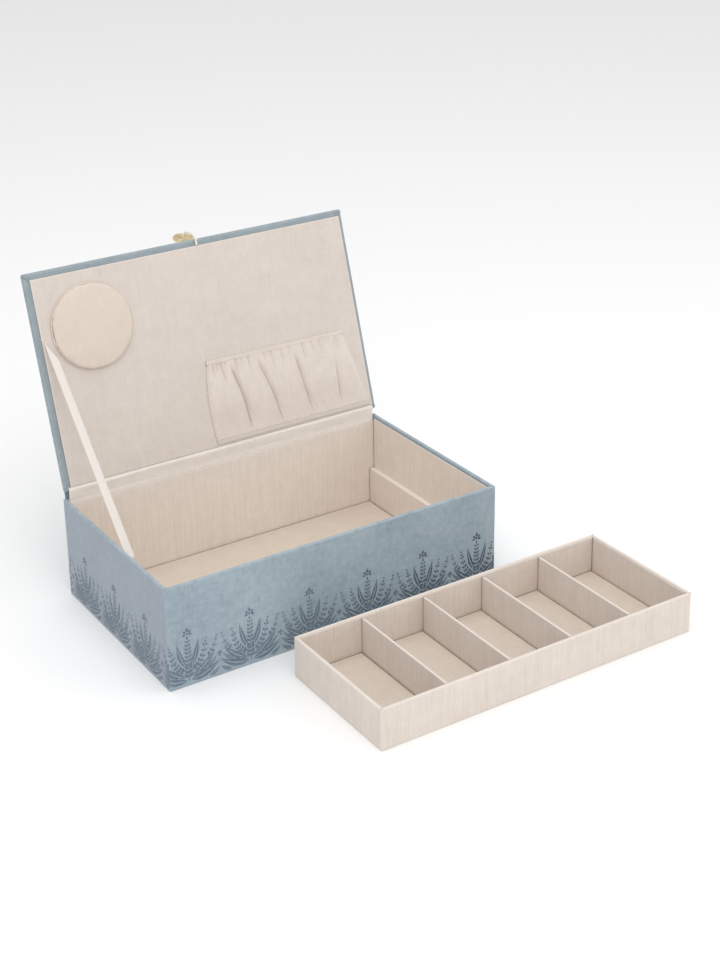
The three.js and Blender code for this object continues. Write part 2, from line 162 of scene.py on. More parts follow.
# Camera
cameraLook = {
    "lens": 65.511, "shiftAcross": 0.038227, "shiftUp": -0.145833, "place": (-0.74643, -1.3015, 0.84808),
    "right": (0.84758, -0.53024, -0.021314), "up": (0.211095, 0.300038, 0.930278),
}


def makeCamera(look):
    camera = bpy.data.objects.new("camera", bpy.data.cameras.new("camera"))
    scene.collection.objects.link(camera)
    right = Vector(look["right"]).normalized()
    back = right.cross(Vector(look["up"])).normalized()
    up = back.cross(right)
    camera.matrix_world = Matrix.Translation(look["place"]) @ Matrix((right, up, back)).transposed().to_4x4()
    camera.data.lens = look["lens"]
    camera.data.shift_x = look["shiftAcross"]
    camera.data.shift_y = look["shiftUp"]
    camera.data.clip_start, camera.data.clip_end = 0.01, 100
    scene.camera = camera


makeCamera(cameraLook)
print("camera made")


# Nodes of materials and of Geometry Nodes trees
def feed(tree, socket, value):
    if isinstance(value, bpy.types.NodeSocket):
        tree.links.new(value, socket)
    else:
        socket.default_value = value


def addNode(tree, kind, sockets, settings=None):
    made = tree.nodes.new(kind)
    for label, value in (settings or {}).items():
        setattr(made, label, value)
    for label, value in sockets.items():
        feed(tree, made.inputs[label], value)
    return made


# Materials
def tone(red, green, blue):
    def linear(value):
        value /= 255
        return value / 12.92 if value <= 0.04045 else ((value + 0.055) / 1.055) ** 2.4
    return (linear(red), linear(green), linear(blue), 1)


class Wire:
    # One socket of a material, so that maths on it reads as plain sums
    def __init__(self, bench, socket):
        self.bench, self.socket = bench, socket

    def maths(self, operation, first, second):
        return self.bench.node("ShaderNodeMath", {"operation": operation}, {0: first, 1: second})

    def __add__(self, other):
        return self.maths("ADD", self, other)

    def __sub__(self, other):
        return self.maths("SUBTRACT", self, other)

    def __mul__(self, other):
        return self.maths("MULTIPLY", self, other)

    def __rsub__(self, other):
        return self.maths("SUBTRACT", other, self)

    def above(self, low, high):
        span = {"Value": self, "From Min": low, "From Max": high}
        return self.bench.node("ShaderNodeMapRange", {"interpolation_type": "SMOOTHSTEP"}, span)

    __radd__, __rmul__ = __add__, __mul__


class Bench:
    # A material on the work bench, with its own patterns
    def __init__(self, name, **sockets):
        self.material = bpy.data.materials.new(name)
        self.material.use_nodes = True
        self.tree = self.material.node_tree
        self.shader = self.tree.nodes["Principled BSDF"]
        for label, value in sockets.items():
            self.shader.inputs[label.replace("_", " ")].default_value = value

    def node(self, kind, settings, sockets, output=0):
        fed = {label: getattr(value, "socket", value) for label, value in sockets.items()}
        return Wire(self, addNode(self.tree, kind, fed, settings).outputs[output])

    def turned(self, turn=(0, 0, 0), centre=(0, 0, 0)):
        place = self.node("ShaderNodeTexCoord", {}, {}, "Object")
        moved = self.vector("SUBTRACT", place, centre)
        return self.node("ShaderNodeMapping", {"vector_type": "POINT"}, {"Vector": moved, "Rotation": turn})

    def vector(self, operation, first, second):
        return self.node("ShaderNodeVectorMath", {"operation": operation}, {0: first, 1: second})

    def firstAxis(self, place):
        return self.node("ShaderNodeSeparateXYZ", {}, {0: place})

    def grain(self, place, perMetre, detail=2.0, roughness=0.5):
        everyWay = perMetre if isinstance(perMetre, tuple) else (perMetre, perMetre, perMetre)
        scaled = self.vector("MULTIPLY", place, everyWay)
        sockets = {"Vector": scaled, "Scale": 1.0, "Detail": detail, "Roughness": roughness}
        return self.node("ShaderNodeTexNoise", {}, sockets)

    def attribute(self, name):
        return self.node("ShaderNodeAttribute", {"attribute_name": name}, {}, "Fac")

    def mix(self, share, first, second):
        return self.node("ShaderNodeMix", {"data_type": "RGBA"}, {0: share, 6: first, 7: second}, 2)

    def finish(self, colour, roughness, height=None, depth=0.0002, strength=0.5):
        wanted = {"Base Color": colour, "Roughness": roughness}
        if height is not None:
            bump = {"Height": height, "Distance": depth, "Strength": strength}
            wanted["Normal"] = self.node("ShaderNodeBump", {}, bump)
        for label, value in wanted.items():
            feed(self.tree, self.shader.inputs[label], getattr(value, "socket", value))
        return self.material


# Threads run along each axis, so two families cross on every face
def threadSets(bench, place, fine, long, detail):
    upThreads = bench.grain(place, (fine, fine, long), detail)
    alongThreads = bench.grain(place, (long, fine, fine), detail)
    acrossThreads = bench.grain(place, (fine, long, fine), detail)
    return upThreads, alongThreads, acrossThreads


brushedLook = {
    "dark": tone(130, 145, 156), "light": tone(172, 187, 195), "wearAndHighlight": tone(168, 180, 188),
    "inkPale": tone(98, 112, 126), "inkDeep": tone(60, 70, 86), "violet": tone(152, 156, 168),
    "grey": tone(136, 142, 144), "creaseShade": tone(84, 96, 108),
    "leftFaceShade": (-0.1775, -0.178), "inkSpan": (-0.06, 0.16),
}


def brushedCloth(name, lean=0.0, printed=False, greyer=0.0):
    look = brushedLook
    bench = Bench(name, Sheen_Weight=0.18, Sheen_Roughness=0.45, Specular_IOR_Level=0.2)
    place = bench.turned((lean, 0, 0))
    up, along, across = threadSets(bench, place, 1300.0, 130.0, 3.0)
    mottle = bench.grain(place, 150.0, 4.0, 0.6)
    cloud = bench.grain(place, 16.0, 2.0)
    weave = up * 0.45 + along * 0.35 + across * 0.2
    shade = (weave - 0.5) * 1.05 + (mottle - 0.5) * 0.85 + (cloud - 0.5) * 0.6 + 0.5
    colour = bench.mix(shade, look["dark"], look["light"])
    # painted shade: creaseShade darkens folds and creases toward a dark slate blue
    colour = bench.mix(bench.attribute("creaseShade") * 0.6, colour, look["creaseShade"])
    # painted shade: the box's left end face is tinted a greyer violet for how the light falls on it
    leftFaceShade = bench.firstAxis(place).above(*look["leftFaceShade"])
    colour = bench.mix(leftFaceShade * 0.45, colour, look["violet"])
    if greyer:
        colour = bench.mix(greyer, colour, look["grey"])
    # wear and painted highlight: rims and rounded edges are lightened, partly for rubbing and partly for the
    # light they catch
    rubbedAndLit = bench.attribute("edge") * (mottle - 0.3)
    colour = bench.mix(rubbedAndLit, colour, look["wearAndHighlight"])
    height = weave + mottle * 0.6
    if printed:
        reach = bench.firstAxis(place).above(*look["inkSpan"])
        ink = bench.mix(reach + (cloud - 0.5) * 0.5, look["inkPale"], look["inkDeep"])
        gaps = bench.grain(place, 520.0, 3.0, 0.6).above(0.34, 0.54)
        colour = bench.mix(0.58 + gaps * 0.34, colour, ink)
    return bench.finish(colour, 0.92 - mottle * 0.08, height, 0.00022, 0.5)


# rubAndHighlight lightens rubbed, lit edges: wear and painted highlight. jointShade is the colour of painted
# shade in creases and joints
linenLook = {
    "dark": tone(200, 187, 176), "light": tone(236, 227, 219), "slub": tone(186, 168, 152),
    "rubAndHighlight": tone(228, 220, 212), "jointShade": tone(120, 98, 80),
}


def linenCloth(name, lean=0.0, dark=None, light=None, streak=0.34, jointShade=None):
    look = linenLook
    bench = Bench(name, Sheen_Weight=0.08, Sheen_Roughness=0.5, Specular_IOR_Level=0.2)
    place = bench.turned((lean, 0, 0))
    up, along, across = threadSets(bench, place, 760.0, 20.0, 2.0)
    fineUp, fineAlong, fineAcross = threadSets(bench, place, 1500.0, 110.0, 2.0)
    mottle = bench.grain(place, 90.0, 3.0)
    cloud = bench.grain(place, 11.0, 2.0)
    weave = up * streak + along * 0.12 + across * 0.1
    weave = weave + fineUp * 0.2 + fineAlong * 0.14 + fineAcross * (0.44 - streak)
    shade = (weave - 0.5) * 1.6 + (mottle - 0.5) * 0.3 + (cloud - 0.5) * 0.2 + 0.5
    colour = bench.mix(shade, dark or look["dark"], light or look["light"])
    slubs = bench.grain(place, (300.0, 300.0, 22.0), 1.0).above(0.76, 0.82)
    colour = bench.mix(slubs * 0.4, colour, look["slub"])
    # wear and painted highlight along rounded edges
    colour = bench.mix(bench.attribute("edge") * 0.3, colour, look["rubAndHighlight"])
    # painted shade in creases, folds and joints, toward the jointShade colour
    colour = bench.mix(bench.attribute("creaseShade") * 0.75, colour, jointShade or look["jointShade"])
    return bench.finish(colour, 0.93 - weave * 0.08, weave + slubs * 0.4, 0.00025, 0.6)


def chipboardLook(name):
    bench = Bench(name, Specular_IOR_Level=0.2)
    place = bench.turned()
    fibres = bench.grain(place, 420.0, 4.0, 0.65)
    flecks = bench.grain(place, 900.0, 1.0).above(0.66, 0.74)
    colour = bench.mix(fibres, tone(140, 124, 100), tone(186, 170, 146))
    colour = bench.mix(flecks * 0.6, colour, tone(96, 84, 70))
    return bench.finish(colour, 0.88 + fibres * 0.08, fibres, 0.0001, 0.4)


def underClothLook(name):
    bench = Bench(name, Specular_IOR_Level=0.2)
    place = bench.turned()
    up, along, across = threadSets(bench, place, 700.0, 40.0, 3.0)
    weave = along * 0.5 + across * 0.5
    mottle = bench.grain(place, 120.0, 3.0)
    shade = (weave - 0.5) * 2 + (mottle - 0.5) + 0.5
    colour = bench.mix(shade, tone(112, 124, 132), tone(152, 164, 171))
    return bench.finish(colour, 0.9 + mottle * 0.05, weave, 0.0002, 0.5)


def satinLook(name):
    bench = Bench(name, Sheen_Weight=0.25, Sheen_Roughness=0.3, Specular_IOR_Level=0.5)
    onRibbon = bench.node("ShaderNodeUVMap", {"uv_map": "ribbon"}, {})
    across = bench.firstAxis(onRibbon)
    ends = bench.grain(onRibbon, (46.0, 3.0, 1.0), 2.0)
    ripple = bench.grain(onRibbon, (2.0, 26.0, 1.0), 2.0)
    selvedge = 1 - (across * (1 - across) * 4).above(0.16, 0.34)
    colour = bench.mix(ends * 0.6 + ripple * 0.5 - selvedge * 0.25, tone(200, 192, 185), tone(230, 223, 217))
    height = ends * 0.4 + ripple + selvedge * 0.5
    return bench.finish(colour, 0.34 + ends * 0.18 + selvedge * 0.2, height, 0.00012, 0.35)


def cordLook(name):
    bench = Bench(name, Sheen_Weight=0.2, Specular_IOR_Level=0.3)
    place = bench.turned()
    fibres = bench.grain(place, 2600.0, 3.0)
    soil = bench.grain(place, 240.0, 2.0)
    colour = bench.mix(fibres * 0.7 + soil * 0.4, tone(205, 198, 186), tone(244, 241, 234))
    return bench.finish(colour, 0.75 + fibres * 0.15, fibres, 0.00008, 0.5)


def elasticLook(name):
    bench = Bench(name, Specular_IOR_Level=0.3)
    place = bench.turned((lidLean, 0, 0))
    ribs = bench.grain(place, (40.0, 900.0, 1500.0), 2.0)
    colour = bench.mix(ribs, tone(206, 200, 192), tone(240, 237, 232))
    return bench.finish(colour, 0.75 + ribs * 0.1, ribs, 0.0001, 0.5)


discLook = {"across": 21, "thick": 1.5, "hole": 4, "tilt": 26.7, "centre": (2, 213.2, -10.8)}


def brassLook(name):
    bench = Bench(name, Metallic=1.0)
    turn = lidLean - math.pi / 2 - math.radians(discLook["tilt"])
    place = bench.turned((turn, 0, 0), onLid(*discLook["centre"]))
    flat = bench.vector("MULTIPLY", place, (1, 0, 1))
    fromCentre = bench.node("ShaderNodeVectorMath", {"operation": "LENGTH"}, {0: flat}, "Value")
    rings = bench.node("ShaderNodeMath", {"operation": "SINE"}, {0: fromCentre * 21000})
    patina = bench.grain(place, 160.0, 4.0, 0.6)
    colour = bench.mix(patina.above(0.35, 0.7), tone(236, 222, 180), tone(206, 184, 128))
    return bench.finish(colour, 0.22 + patina * 0.2, rings * 0.3 + patina, 0.00003, 0.35)


blueCloth = brushedCloth("blue_cloth")
blueLidCloth = brushedCloth("blue_cloth_lid", lidLean, greyer=0.5)
printedCloth = brushedCloth("blue_cloth_print", printed=True)
linen = linenCloth("linen")
lidLinen = linenCloth("linen_lid", lidLean, tone(191, 180, 171), tone(226, 217, 209), 0.16)
# the pocket's own linen; its last colour is a warmer brown for the painted shade in its fold creases
pocketLinen = linenCloth("linen_pocket", lidLean, tone(198, 186, 176), tone(233, 224, 216), 0.16,
                         tone(146, 112, 82))
# darker, warmer copy of the linen: painted shade on the floor cards of the deep compartments
shadedFloorLinen = linenCloth("linen_floor_shaded", 0.0, tone(191, 177, 163), tone(226, 215, 202))
# lighter copy of the linen: painted light on the hinge strip, which faces down
litHingeLinen = linenCloth("linen_hinge_lit", lidLean, tone(216, 206, 197), tone(252, 247, 241), 0.14)
# lighter copy of the linen: painted light on the right and back walls and right ledge inside the box
litLinen = linenCloth("linen_lit", 0.0, tone(211, 199, 187), tone(245, 237, 228))
padLinen = linenCloth("pad_linen", lidLean, tone(197, 182, 169), tone(227, 215, 204), 0.12)
satin = satinLook("satin")
whiteCord = cordLook("white_cord")
brass = brassLook("brass")
nodeFinishes = {
    "chipboard": chipboardLook("chipboard"), "base_cloth": underClothLook("base_cloth"),
    "elastic": elasticLook("elastic"), "linen": linen, "pad_linen": padLinen, "satin": satin,
    "white_cord": whiteCord, "brass": brass, "blue_cloth": blueCloth,
}
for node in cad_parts.values():
    for slot in node.material_slots:
        slotName = slot.material.name.split(".")[0] if slot.material else ""
        slot.material = nodeFinishes.get(slotName, nodeFinishes["chipboard"])
print("materials made")


# Tubes and paths
def smoothPath(points, steps):
    points = list(points)
    ends = [2 * points[0] - points[1], *points, 2 * points[-1] - points[-2]]
    path = []
    for i in range(len(points) - 1):
        a, b, c, d = ends[i:i + 4]
        for step in range(steps):
            t = step / steps
            path.append(0.5 * (2 * b + (c - a) * t + (2 * a - 5 * b + 4 * c - d) * t * t
                               + (3 * b - a - 3 * c + d) * t ** 3))
    return [*path, points[-1]]


def pathLength(points):
    return sum((b - a).length for a, b in zip(points, points[1:]))


def tube(path, sides, radiusAt, closedLoop=False):
    points = []
    count = len(path)

    def neighbour(i):
        return path[i % count if closedLoop else min(max(i, 0), count - 1)]

    tangents = [(neighbour(i + 1) - neighbour(i - 1)).normalized() for i in range(count)]
    side = tangents[0].orthogonal().normalized()
    for i, centre in enumerate(path):
        side = (side - tangents[i] * side.dot(tangents[i])).normalized()
        other = tangents[i].cross(side)
        for angle in angles(sides):
            points.append(centre + (side * math.cos(angle) + other * math.sin(angle)) * radiusAt(i, angle))
    faces = ringFaces(count, sides, closedLoop)
    if not closedLoop:
        faces += [tuple(range(sides))[::-1], tuple((count - 1) * sides + k for k in range(sides))]
    return points, faces


# Pull: cord, knot and disc
pullCordLook = {
    "across": 2.2, "strands": 3, "lay": 3.2, "groove": 0.1, "knotBehind": 2.2, "knotSize": 0.72,
    "bendFrom": (7, 212, 3), "bendTo": (3.7, 218.6, -8),
}
pullRoute = [
    (6.8, 204.9, 6.6), (6.9, 208.5, 6.6), (7, 211.4, 6.4), (7.1, 214.4, 3.6), (6.9, 216.8, -0.4),
    (5.7, 218.7, -4.8), (3.7, 218.6, -8.1), (2.3, 216.8, -9.2), (2, 214.8, -10), (2, 211.1, -11.9),
]


def makePull():
    look = pullCordLook
    path = smoothPath([Vector(p) for p in pullRoute], 12)
    run = [pathLength(path[:i + 1]) for i in range(len(path))]

    def strand(i, angle):
        turn = look["strands"] * (angle + 2 * math.pi * run[i] / look["lay"] / look["strands"])
        return look["across"] / 2 * (1 + look["groove"] * (abs(math.cos(turn / 2)) - 0.6))

    points, faces = tube(path, 24, strand)
    cord = meshPiece("pull_cord_twisted", points, faces, whiteCord, lidPlace)
    tilt = math.radians(discLook["tilt"])
    away = Vector((0, -math.cos(tilt), -math.sin(tilt)))
    size = look["knotSize"]
    loops = []
    for t in angles(72):
        x, y = 0.62 * (math.sin(t) + 2 * math.sin(2 * t)), 0.5 * (math.cos(t) - 2 * math.cos(2 * t))
        loops.append(path[-1] + away * look["knotBehind"] + Vector((x, y, -0.75 * math.sin(3 * t))) * size)
    points, faces = tube(loops, 12, lambda i, angle: size * (1 + 0.06 * math.cos(3 * angle + i)), True)
    knot = meshPiece("pull_knot_tied", points, faces, whiteCord, lidPlace)
    centre = Vector(discLook["centre"])
    outer, hole, half = discLook["across"] / 2, discLook["hole"] / 2, discLook["thick"] / 2
    face = [
        (hole, 0.6), (hole + 0.2, 0.92), (hole + 0.5, 1), (hole + 1.3, 1), (hole + 1.7, 0.72),
        (outer * 0.55, 0.62), (outer - 1.5, 0.7), (outer - 1, 1), (outer - 0.4, 1), (outer - 0.1, 0.8),
        (outer, 0.4),
    ]
    profile = [(r, -half * h) for r, h in face] + [(r, half * h) for r, h in reversed(face)]
    points, sides = [], 96
    turn = Matrix.Rotation(tilt, 3, "X")
    for angle in angles(sides):
        points += [centre + turn @ Vector((r * math.cos(angle), h, r * math.sin(angle))) for r, h in profile]
    faces = ringFaces(sides, len(profile), True)
    disc = meshPiece("pull_disc_turned", points, faces, brass, lidPlace)
    dress(knot, "pull", "pull_knot")
    dress(disc, "pull", "pull_disc")
    dress(cord, None, "pull_cord")
    onLid(*look["bendFrom"])
    onLid(*look["bendTo"])
    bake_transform(cord)
    worldPath = [lidPlace @ (p * mm) for p in path]
    tuple(worldPath[0])
    pathLength(worldPath)
    [tuple(p) for p in [*worldPath[::4], worldPath[-1]]]


makePull()
print("pull made")


# Cloth over a rectangle: a profile of (inset, height, wear and painted highlight) swept round it
def roundCorners(length, depth, inset, corner, sideStops):
    radius = max(corner - inset, 0.04)
    halfX, halfY = length / 2 - inset - radius, depth / 2 - inset - radius
    arcs = []
    for k, (sx, sy) in enumerate(((1, -1), (1, 1), (-1, 1), (-1, -1))):
        bends = [math.pi / 2 * (k + step / 5 - 1) for step in range(6)]
        arcs.append([Vector((sx * halfX + radius * math.cos(a), sy * halfY + radius * math.sin(a)))
                     for a in bends])
    stops = []
    for arc, following in zip(arcs, [*arcs[1:], arcs[0]]):
        stops += [(p.x, p.y, 1) for p in arc]
        run = (following[0] - arc[-1]).length
        for at in [1.6, *(run * (j + 1) / (sideStops + 1) for j in range(sideStops)), run - 1.6]:
            stops.append((*arc[-1].lerp(following[0], at / run), 0))
    return stops


def sweepProfile(look, profile, loop=True):
    points, edge = [], []
    for inset, height, wearAndHighlight in profile:
        ring = roundCorners(look["length"], look["depth"], inset, look["corner"], 8)
        points += [(x + look["shift"][0], y + look["shift"][1], height) for x, y, _ in ring]
        # the edge attribute carries wear and painted highlight on the rims and round the corners
        edge += [max(wearAndHighlight, bend * (0 < height and inset < look["corner"]) * 0.8) for _, _, bend in ring]
    count, rows = len(ring), len(profile)
    faces = ringFaces(rows, count, loop)
    if not loop:
        faces += [tuple(range(count)), tuple((rows - 1) * count + k for k in range(count))]
    return points, faces, edge


def arcProfile(centre, radius, fromAngle, toAngle, steps, wearAndHighlight=1):
    made = []
    for step in range(steps + 1):
        angle = math.radians(fromAngle + (toAngle - fromAngle) * step / steps)
        made.append((centre[0] + radius * math.cos(angle), centre[1] + radius * math.sin(angle), wearAndHighlight))
    return made


boxClothLook = {
    "length": 356, "depth": 210, "height": 102, "cloth": 0.6, "shell": 3.6, "turnIn": 14, "under": 12,
    "rim": 0.9, "foot": 0.8, "corner": 1.3, "shift": (0, 0), "folds": (0.5, 3.5),
}
trayClothLook = {
    "length": 342, "depth": 139, "height": 40.5, "cloth": 0.5, "shell": 3.2, "turnIn": 9, "under": 10,
    "rim": 1.1, "foot": 1, "corner": 1.8, "shift": (97.6, -213), "folds": (0.6, 3.1),
}
lidClothLook = {
    "length": 354, "depth": 211, "height": 5.2, "cloth": 0.6, "turnIn": 16, "edge": 1.7, "corner": 2,
    "shift": (0, 105.5), "folds": (1.2, 8),
}


def wrapCloth(name, look, profile, material, node, body, place=upright, loop=True):
    points, faces, edge = sweepProfile(look, profile, loop)
    piece = meshPiece(name, points, faces, material, place, edge)
    softenCreases(piece)
    dress(piece, body, node)


def shellProfile(look):
    top, cloth, shell, rim, foot = (look[label] for label in ("height", "cloth", "shell", "rim", "foot"))
    turnIn = top - look["turnIn"]
    walls = [(0, foot + (top - rim - foot) * k / 10, 0) for k in range(1, 10)]
    profile = [(look["under"], 0, 0), (look["under"] / 2, 0, 0)]
    profile += arcProfile((foot, foot), foot, 270, 180, 4, 0.8)
    profile += [(0, foot + 1.5, 0), *walls, (0, top - rim - 1.3, 0)]
    profile += arcProfile((rim, top - rim), rim, 180, 90, 4, 1)
    profile += arcProfile((shell - rim, top - rim), rim, 90, 0, 4, 0.9)
    inside = [(shell, top - rim - 1.2), (shell, turnIn), (shell - cloth, turnIn),
              (shell - cloth, top - cloth), (cloth, top - cloth), (cloth, cloth), (look["under"], cloth)]
    return profile + [(inset, height, 0) for inset, height in inside]


def lidProfile(look):
    edge, thick, cloth, turnIn = look["edge"], look["height"], look["cloth"], look["turnIn"]
    profile = [(60, 0, 0), (20, 0, 0), (edge + 1.5, 0, 0)]
    profile += arcProfile((edge, edge), edge, 270, 180, 5, 1)
    profile += arcProfile((edge, thick - edge), edge, 180, 90, 5, 1)
    inside = [(edge + 1.4, thick), (turnIn, thick), (turnIn, thick - cloth), (cloth, thick - cloth),
              (cloth, cloth), (60, cloth)]
    return profile + [(inset, height, 0) for inset, height in inside]


wrapCloth("box_cloth_wrapped", boxClothLook, shellProfile(boxClothLook), blueCloth, "outer_cloth", "box")
wrapCloth("tray_cloth_wrapped", trayClothLook, shellProfile(trayClothLook), linen, "tray_outer_cloth", "tray")
wrapCloth("lid_cloth_wrapped", lidClothLook, lidProfile(lidClothLook), blueLidCloth, "lid_cover_cloth", "lid",
          lidPlace, False)
cornerFoldLook = {"wide": 3.8, "high": 0.95, "sunk": 0.08, "wander": 0.3, "across": 8, "along": 14}


def cornerFolds(name, cloth, material, place, body, share=1.0):
    # the cloth laps over itself along each mitre, as a low ridge with painted shade along each side
    look = cornerFoldLook
    points, faces, creaseShades = [], [], []
    across, along = look["across"], look["along"]
    inset, farInset = cloth["folds"]
    run = (farInset - inset) * math.sqrt(2)
    for sx, sy in ((-1, -1), (-1, 1), (1, -1), (1, 1)):
        first = len(points)
        ahead, aside = Vector((-sx, -sy, 0)).normalized(), Vector((-sy, sx, 0)).normalized()
        x, y = sx * (cloth["length"] / 2 - inset), sy * (cloth["depth"] / 2 - inset)
        start = Vector((x + cloth["shift"][0], y + cloth["shift"][1], cloth["height"] - look["sunk"]))
        for i in range(along + 1):
            t = i / along
            middle = start + ahead * run * t + aside * look["wander"] * share * math.sin(7 * t + sx + 2 * sy)
            crown = look["high"] * share * (0.6 + 0.4 * math.sin(math.pi * min(t * 1.4, 1)))
            for j in range(across + 1):
                u = j / across * 2 - 1
                rise = Vector((0, 0, crown * (1 - abs(u) ** 2.5)))
                points.append(middle + aside * (u * look["wide"] / 2 * share) + rise)
                # painted shade toward each side of the ridge
                creaseShades.append(smoothStep(abs(u), 0.5, 0.9) * (1 + 0.6 * share))
        for i in range(along):
            for j in range(across):
                a = first + i * (across + 1) + j
                faces.append((a, a + 1, a + across + 2, a + across + 1))
    piece = meshPiece(name, points, faces, material, place, creaseShade=creaseShades, closed=False)
    for face in piece.data.polygons:
        if face.normal.dot(place.to_3x3() @ Vector((0, 0, 1))) < 0:
            face.flip()
    dress(piece, body)


cornerFolds("lid_corner_folds", lidClothLook, blueLidCloth, lidPlace, "lid")
cornerFolds("box_corner_folds", boxClothLook, blueCloth, upright, "box", 0.4)
cornerFolds("tray_corner_folds", trayClothLook, linen, upright, "tray", 0.35)
print("wrapped cloths made")


# Linen-covered cards with soft edges
def coveredCard(name, node, body, low, high, place=upright, material=linen, radius=0.42, band=1.8, jointShade=""):
    size = [h - l for l, h in zip(low, high)]
    radius = min(radius, min(size) / 2)

    def stops(run):
        near = [0, radius * 0.35, radius, radius + 0.25 * (band - radius), band]
        near = [s for s in near if s <= run / 2]
        far = [run - s for s in reversed(near)]
        middle = [run * k / 6 for k in range(1, 6)] if run > 30 else []
        return sorted({round(s, 4) for s in [*near, *middle, *far]})

    axes = [stops(run) for run in size]
    points, edge, creaseShade, faces, known = [], [], [], [], {}

    def corner(place3):
        key = tuple(round(v, 3) for v in place3)
        if key not in known:
            inner = Vector([min(max(v, radius), run - radius) for v, run in zip(place3, size)])
            push = Vector(place3) - inner
            rounded = inner + push.normalized() * radius if push.length else Vector(place3)
            gaps = sorted(min(v, run - v) for v, run in zip(place3, size))
            known[key] = len(points)
            points.append(rounded + Vector(low))
            # wear and painted highlight along the card's rounded edges
            edge.append(1 - smoothStep(gaps[1], radius, band))
            # painted shade at joints: round the edges of floor cards, and at the ends of side cards and
            # dividers
            ends = min(place3[1], size[1] - place3[1])
            atEnds = 0.8 - 0.8 * smoothStep(ends, 0.5, 1.8)
            jointShades = {"floor": 1 - smoothStep(gaps[1], 0.9, 1.8), "ends": atEnds}
            creaseShade.append(jointShades.get(jointShade, 0))
        return known[key]

    for axis in range(3):
        u, v = (axis + 1) % 3, (axis + 2) % 3
        for level in (0, size[axis]):
            for i in range(len(axes[u]) - 1):
                for j in range(len(axes[v]) - 1):
                    quad = []
                    for a, b in ((i, j), (i + 1, j), (i + 1, j + 1), (i, j + 1)):
                        spot = [0, 0, 0]
                        spot[axis], spot[u], spot[v] = level, axes[u][a], axes[v][b]
                        quad.append(corner(spot))
                    faces.append(quad if level else quad[::-1])
    piece = meshPiece(name, points, faces, material, place, edge, creaseShade)
    dress(piece, body, node)
    return piece


def cardFromNode(node, body):
    low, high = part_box(node)
    long = "front" in node or "back" in node
    jointShade = "floor" if "floor" in node else "" if long else "ends"
    material = shadedFloorLinen if "floor" in node else litLinen if node in litCards else linen
    coveredCard(node + "_covered", node, body, low / mm, high / mm, material=material, jointShade=jointShade)


walls = ["front", "back", "left", "right"]
boxCards = [f"{side}_lining_card" for side in [*walls, "floor"]] + ["left_ledge_card", "right_ledge_card"]
trayCards = [f"tray_{side}_lining_card" for side in walls]
trayCards += [f"tray_divider_{k}" for k in range(1, 5)] + [f"tray_floor_card_{k}" for k in range(1, 6)]
litCards = ["right_lining_card", "back_lining_card", "right_ledge_card"]
for node in boxCards:
    cardFromNode(node, "box")
for node in trayCards:
    cardFromNode(node, "tray")
lidCardLook = {"low": (-170.5, 4.2, 5.5), "high": (173, 204.5, 6.4)}
coveredCard("lid_lining_card_covered", "lid_lining_card", "lid", lidCardLook["low"], lidCardLook["high"],
            lidPlace, lidLinen)
print("covered cards made")


# Hinge cloths: strips bent along a line in the (y, z) plane
hingeLook = {
    "name": "hinge_cloth_glued", "node": "hinge_cloth", "thick": 0.4, "half": 173, "columns": 150,
    "wrinkle": 0.42, "seed": 3, "onBox": [(101.3, 96.1), (101.3, 99), (101.4, 101.8)],
    "onLid": [(0.4, 5.7), (2, 5.7), (3.9, 5.7)], "blendFrom": (101.3, 99), "blendTo": (3.5, 5.7),
    "flat": (0.346, 0.018), "restsOn": ["back_lining_card", "lid_lining_card"],
}
spineLook = {
    "name": "spine_cloth_glued", "node": "spine_cloth", "thick": 0.6, "half": 175.5, "columns": 60,
    "wrinkle": 0.12, "seed": 8,
    "onBox": [(105.4, 80), (105.4, 90), (105.4, 98), (105.45, 102), (105.75, 105.5)],
    "onLid": [(0, -0.6), (4, -0.6), (12, -0.6), (22, -0.6)], "blendFrom": (105.4, 96), "blendTo": (6, -0.6),
    "flat": (0.351, 0.051), "restsOn": ["back_wall_board", "lid_board"],
}


def bentStrip(look, material):
    half, columns, seed = look["half"], look["columns"], look["seed"]
    corners = [Vector((0, y, z)) for y, z in look["onBox"]] + [onLid(0, y, z) / mm for y, z in look["onLid"]]
    line = [p.yz for p in smoothPath(corners, 4)]
    rows = len(line)
    points = []
    for face in (-1, 1):
        for i, at in enumerate(line):
            run = (line[min(i + 1, rows - 1)] - line[max(i - 1, 0)]).normalized()
            free = look["wrinkle"] * math.sin(math.pi * i / (rows - 1))
            for k in range(columns + 1):
                x = -half + 2 * half * k / columns
                lift = free * (rough(x / 55, i / 1.8, seed) + 0.4 * rough(x / 6, i / 4, seed))
                p = at + Vector((run.y, -run.x)) * (face * look["thick"] / 2 + lift)
                points.append((x, p.x, p.y))
    piece = meshPiece(look["name"], points, sheetFaces(rows - 1, columns), material)
    softenCreases(piece, 60)
    dress(piece, None, look["node"])
    y, z = look["blendFrom"]
    onLid(0, *look["blendTo"])
    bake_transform(piece)
    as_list(look["restsOn"])


bentStrip(hingeLook, litHingeLinen)
bentStrip(spineLook, blueCloth)
print("hinge cloths made")


# Ribbon lid stay
ribbonLook = {
    "wide": 8, "thick": 0.4, "fromLeft": 12.2, "upLid": 143.5, "fromFront": 77, "belowRim": 16, "fan": 24,
    "twist": 17, "cup": 1.2, "steps": 96, "across": 8, "tuckSteps": 8, "seat": 6.7,
    "lidLeft": -177, "wallFace": -173.1, "boxFront": -105, "rimHeight": 102, "liningEdge": -171.6,
}


